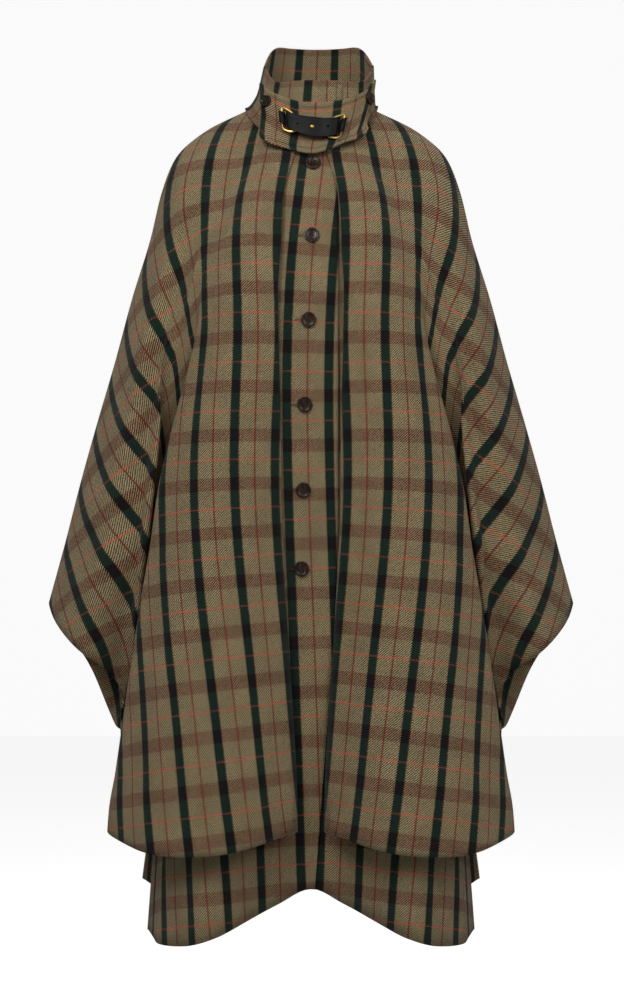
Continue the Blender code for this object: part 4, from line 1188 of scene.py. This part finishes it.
def buttonhole_shape(linen):
    """A worked buttonhole: a long narrow ring of thread, beside the middle of its button."""
    bpy.ops.mesh.primitive_torus_add(major_radius=BUTTONHOLE_REACH * MM, minor_radius=BUTTONHOLE_THREAD * MM,
                                     major_segments=40, minor_segments=8)
    item = bpy.context.object
    edit_only(item, "SELECT")
    bpy.ops.transform.resize(value=(1.0, BUTTONHOLE_NARROW, 1.0))
    bpy.ops.transform.translate(value=(BUTTONHOLE_SHIFT * MM, 0, BUTTONHOLE_RISE * MM))
    bpy.ops.object.mode_set(mode="OBJECT")
    bpy.ops.object.shade_smooth()
    item.data.materials.append(linen)
    return item


def seat(node_name):
    """The place and turn of a button's solid: its base's middle and its way out from the cloth."""
    points = np.array([vertex.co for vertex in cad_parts[node_name].data.vertices])
    points = np.unique(points.round(6), axis=0)
    middle = points.mean(axis=0)
    way = np.linalg.svd(points - middle)[2][2]
    way = way if way[:2].dot(middle[:2]) > 0 else -way
    base = middle + way * (points - middle).dot(way).min()
    turn = Vector(way).to_track_quat("Z", "Y").to_matrix().to_4x4()
    return Matrix.Translation(Vector(base)) @ turn


def seated(shape, node_name, ending):
    """A copy of a shape made at the origin, at the seat of a button's solid."""
    item = bpy.data.objects.new(node_name + ending, shape.data.copy())
    item.data.transform(seat(node_name))
    bpy.context.collection.objects.link(item)
    return item


class CAPECOAT_OT_buttons(bpy.types.Operator):
    """Makes the horn buttons of the coat and of the throat band, and the worked buttonholes"""
    bl_idname = "cape_coat.buttons"
    bl_label = "Buttons"

    def execute(self, context):
        coat = sorted(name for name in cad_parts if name.startswith("coat_button"))
        band = ["band_button_left", "band_button_right"]
        horn, linen = dark_horn(), linen_thread()
        for radius, names in ((BUTTON_RADIUS, coat), (BAND_BUTTON_RADIUS, band)):
            shape = button_shape(radius, horn, linen)
            for name in names:
                place_piece(seated(shape, name, "_horn"), name)
            bpy.data.objects.remove(shape)
        shape = buttonhole_shape(linen)
        for name in coat:
            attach(seated(shape, name, "_hole"), "root")
        bpy.data.objects.remove(shape)
        return {"FINISHED"}


# Stage sizes are in metres.
FLOOR_Z = -1.42
FLOOR_SIZE = 14.0
BACKDROP_HEIGHT = 9.0
PAPER_GLOW = 0.72
ROOM_LIGHT = 0.2
CAMERA_AT = (0.00136, -3.8, -0.507)
CAMERA_LENS = 36 * 3.8 / 1.36
Lamp = namedtuple("Lamp", "x y z size watts")
LAMPS = [Lamp(*row) for row in (
    (-1.2, -2.6, 1.8, 1.6, 43.0),
    (1.6, -2.6, 1.2, 1.8, 23.0),
    (0.0, 1.8, 1.6, 2.0, 14.0),
)]


class CAPECOAT_OT_stage(bpy.types.Operator):
    """Makes the pale floor and backdrop, the soft lamps and the camera"""
    bl_idname = "cape_coat.stage"
    bl_label = "Stage"

    def execute(self, context):
        bpy.ops.mesh.primitive_plane_add(size=FLOOR_SIZE, location=(0, 0, FLOOR_Z))
        floor = context.object
        floor.name = "floor"
        edit_only(floor)
        shape = bmesh.from_edit_mesh(floor.data)
        for edge in shape.edges:
            edge.select_set(all(vertex.co.y > 0 for vertex in edge.verts))
        bmesh.update_edit_mesh(floor.data)
        bpy.ops.mesh.extrude_region_move(TRANSFORM_OT_translate={"value": (0, 0, BACKDROP_HEIGHT)})
        bpy.ops.object.mode_set(mode="OBJECT")
        material, _, shader = new_material("white paper")
        shader.inputs["Base Color"].default_value = linear("#f6f6f6")
        shader.inputs["Emission Color"].default_value = (1, 1, 1, 1)
        shader.inputs["Emission Strength"].default_value = PAPER_GLOW
        floor.data.materials.append(material)
        floor.visible_diffuse = floor.visible_glossy = False
        world = bpy.data.worlds.new("soft room")
        context.scene.world = world
        world.use_nodes = True
        world.node_tree.nodes["Background"].inputs["Color"].default_value = (1, 1, 1, 1)
        world.node_tree.nodes["Background"].inputs["Strength"].default_value = ROOM_LIGHT
        middle = Vector((0.0, 0.0, -0.5))
        for number, lamp in enumerate(LAMPS):
            light = bpy.data.lights.new("lamp %d" % number, "AREA")
            light.energy, light.size = lamp.watts, lamp.size
            holder = bpy.data.objects.new(light.name, light)
            holder.location = lamp[:3]
            holder.rotation_euler = (middle - holder.location).to_track_quat("-Z", "Y").to_euler()
            context.collection.objects.link(holder)
        camera = bpy.data.cameras.new("camera")
        camera.lens = CAMERA_LENS
        camera.sensor_width = 36.0
        holder = bpy.data.objects.new("camera", camera)
        holder.location = CAMERA_AT
        holder.rotation_euler = (math.pi / 2, 0.0, 0.0)
        context.collection.objects.link(holder)
        context.scene.camera = holder
        context.scene.view_settings.view_transform = "Standard"
        return {"FINISHED"}


class CAPECOAT_PT_panel(bpy.types.Panel):
    """Lists the pieces of the cape coat"""
    bl_label = "Cape Coat"
    bl_idname = "CAPECOAT_PT_panel"
    bl_space_type = "VIEW_3D"
    bl_region_type = "UI"
    bl_category = "Cape Coat"

    def draw(self, context):
        for group in (context.scene.cape_coat_check, context.scene.cape_coat_trim):
            box = self.layout.box()
            for name in group.__annotations__:
                box.prop(group, name)
        for operator in OPERATORS:
            self.layout.operator(operator.bl_idname)


OPERATORS = (CAPECOAT_OT_stage, CAPECOAT_OT_cape, CAPECOAT_OT_coat, CAPECOAT_OT_neckwear,
             CAPECOAT_OT_strap, CAPECOAT_OT_buttons)
CLASSES = (CheckSettings, TrimSettings) + OPERATORS + (CAPECOAT_PT_panel,)


def register():
    for item in CLASSES:
        bpy.utils.register_class(item)
    bpy.types.Scene.cape_coat_check = PointerProperty(type=CheckSettings)
    bpy.types.Scene.cape_coat_trim = PointerProperty(type=TrimSettings)


def unregister():
    del bpy.types.Scene.cape_coat_trim
    del bpy.types.Scene.cape_coat_check
    for item in reversed(CLASSES):
        bpy.utils.unregister_class(item)


def main():
    register()
    bpy.ops.cape_coat.stage()
    bpy.ops.cape_coat.cape()
    bpy.ops.cape_coat.coat()
    bpy.ops.cape_coat.neckwear()
    bpy.ops.cape_coat.strap()
    bpy.ops.cape_coat.buttons()


if __name__ == "__main__":
    main()
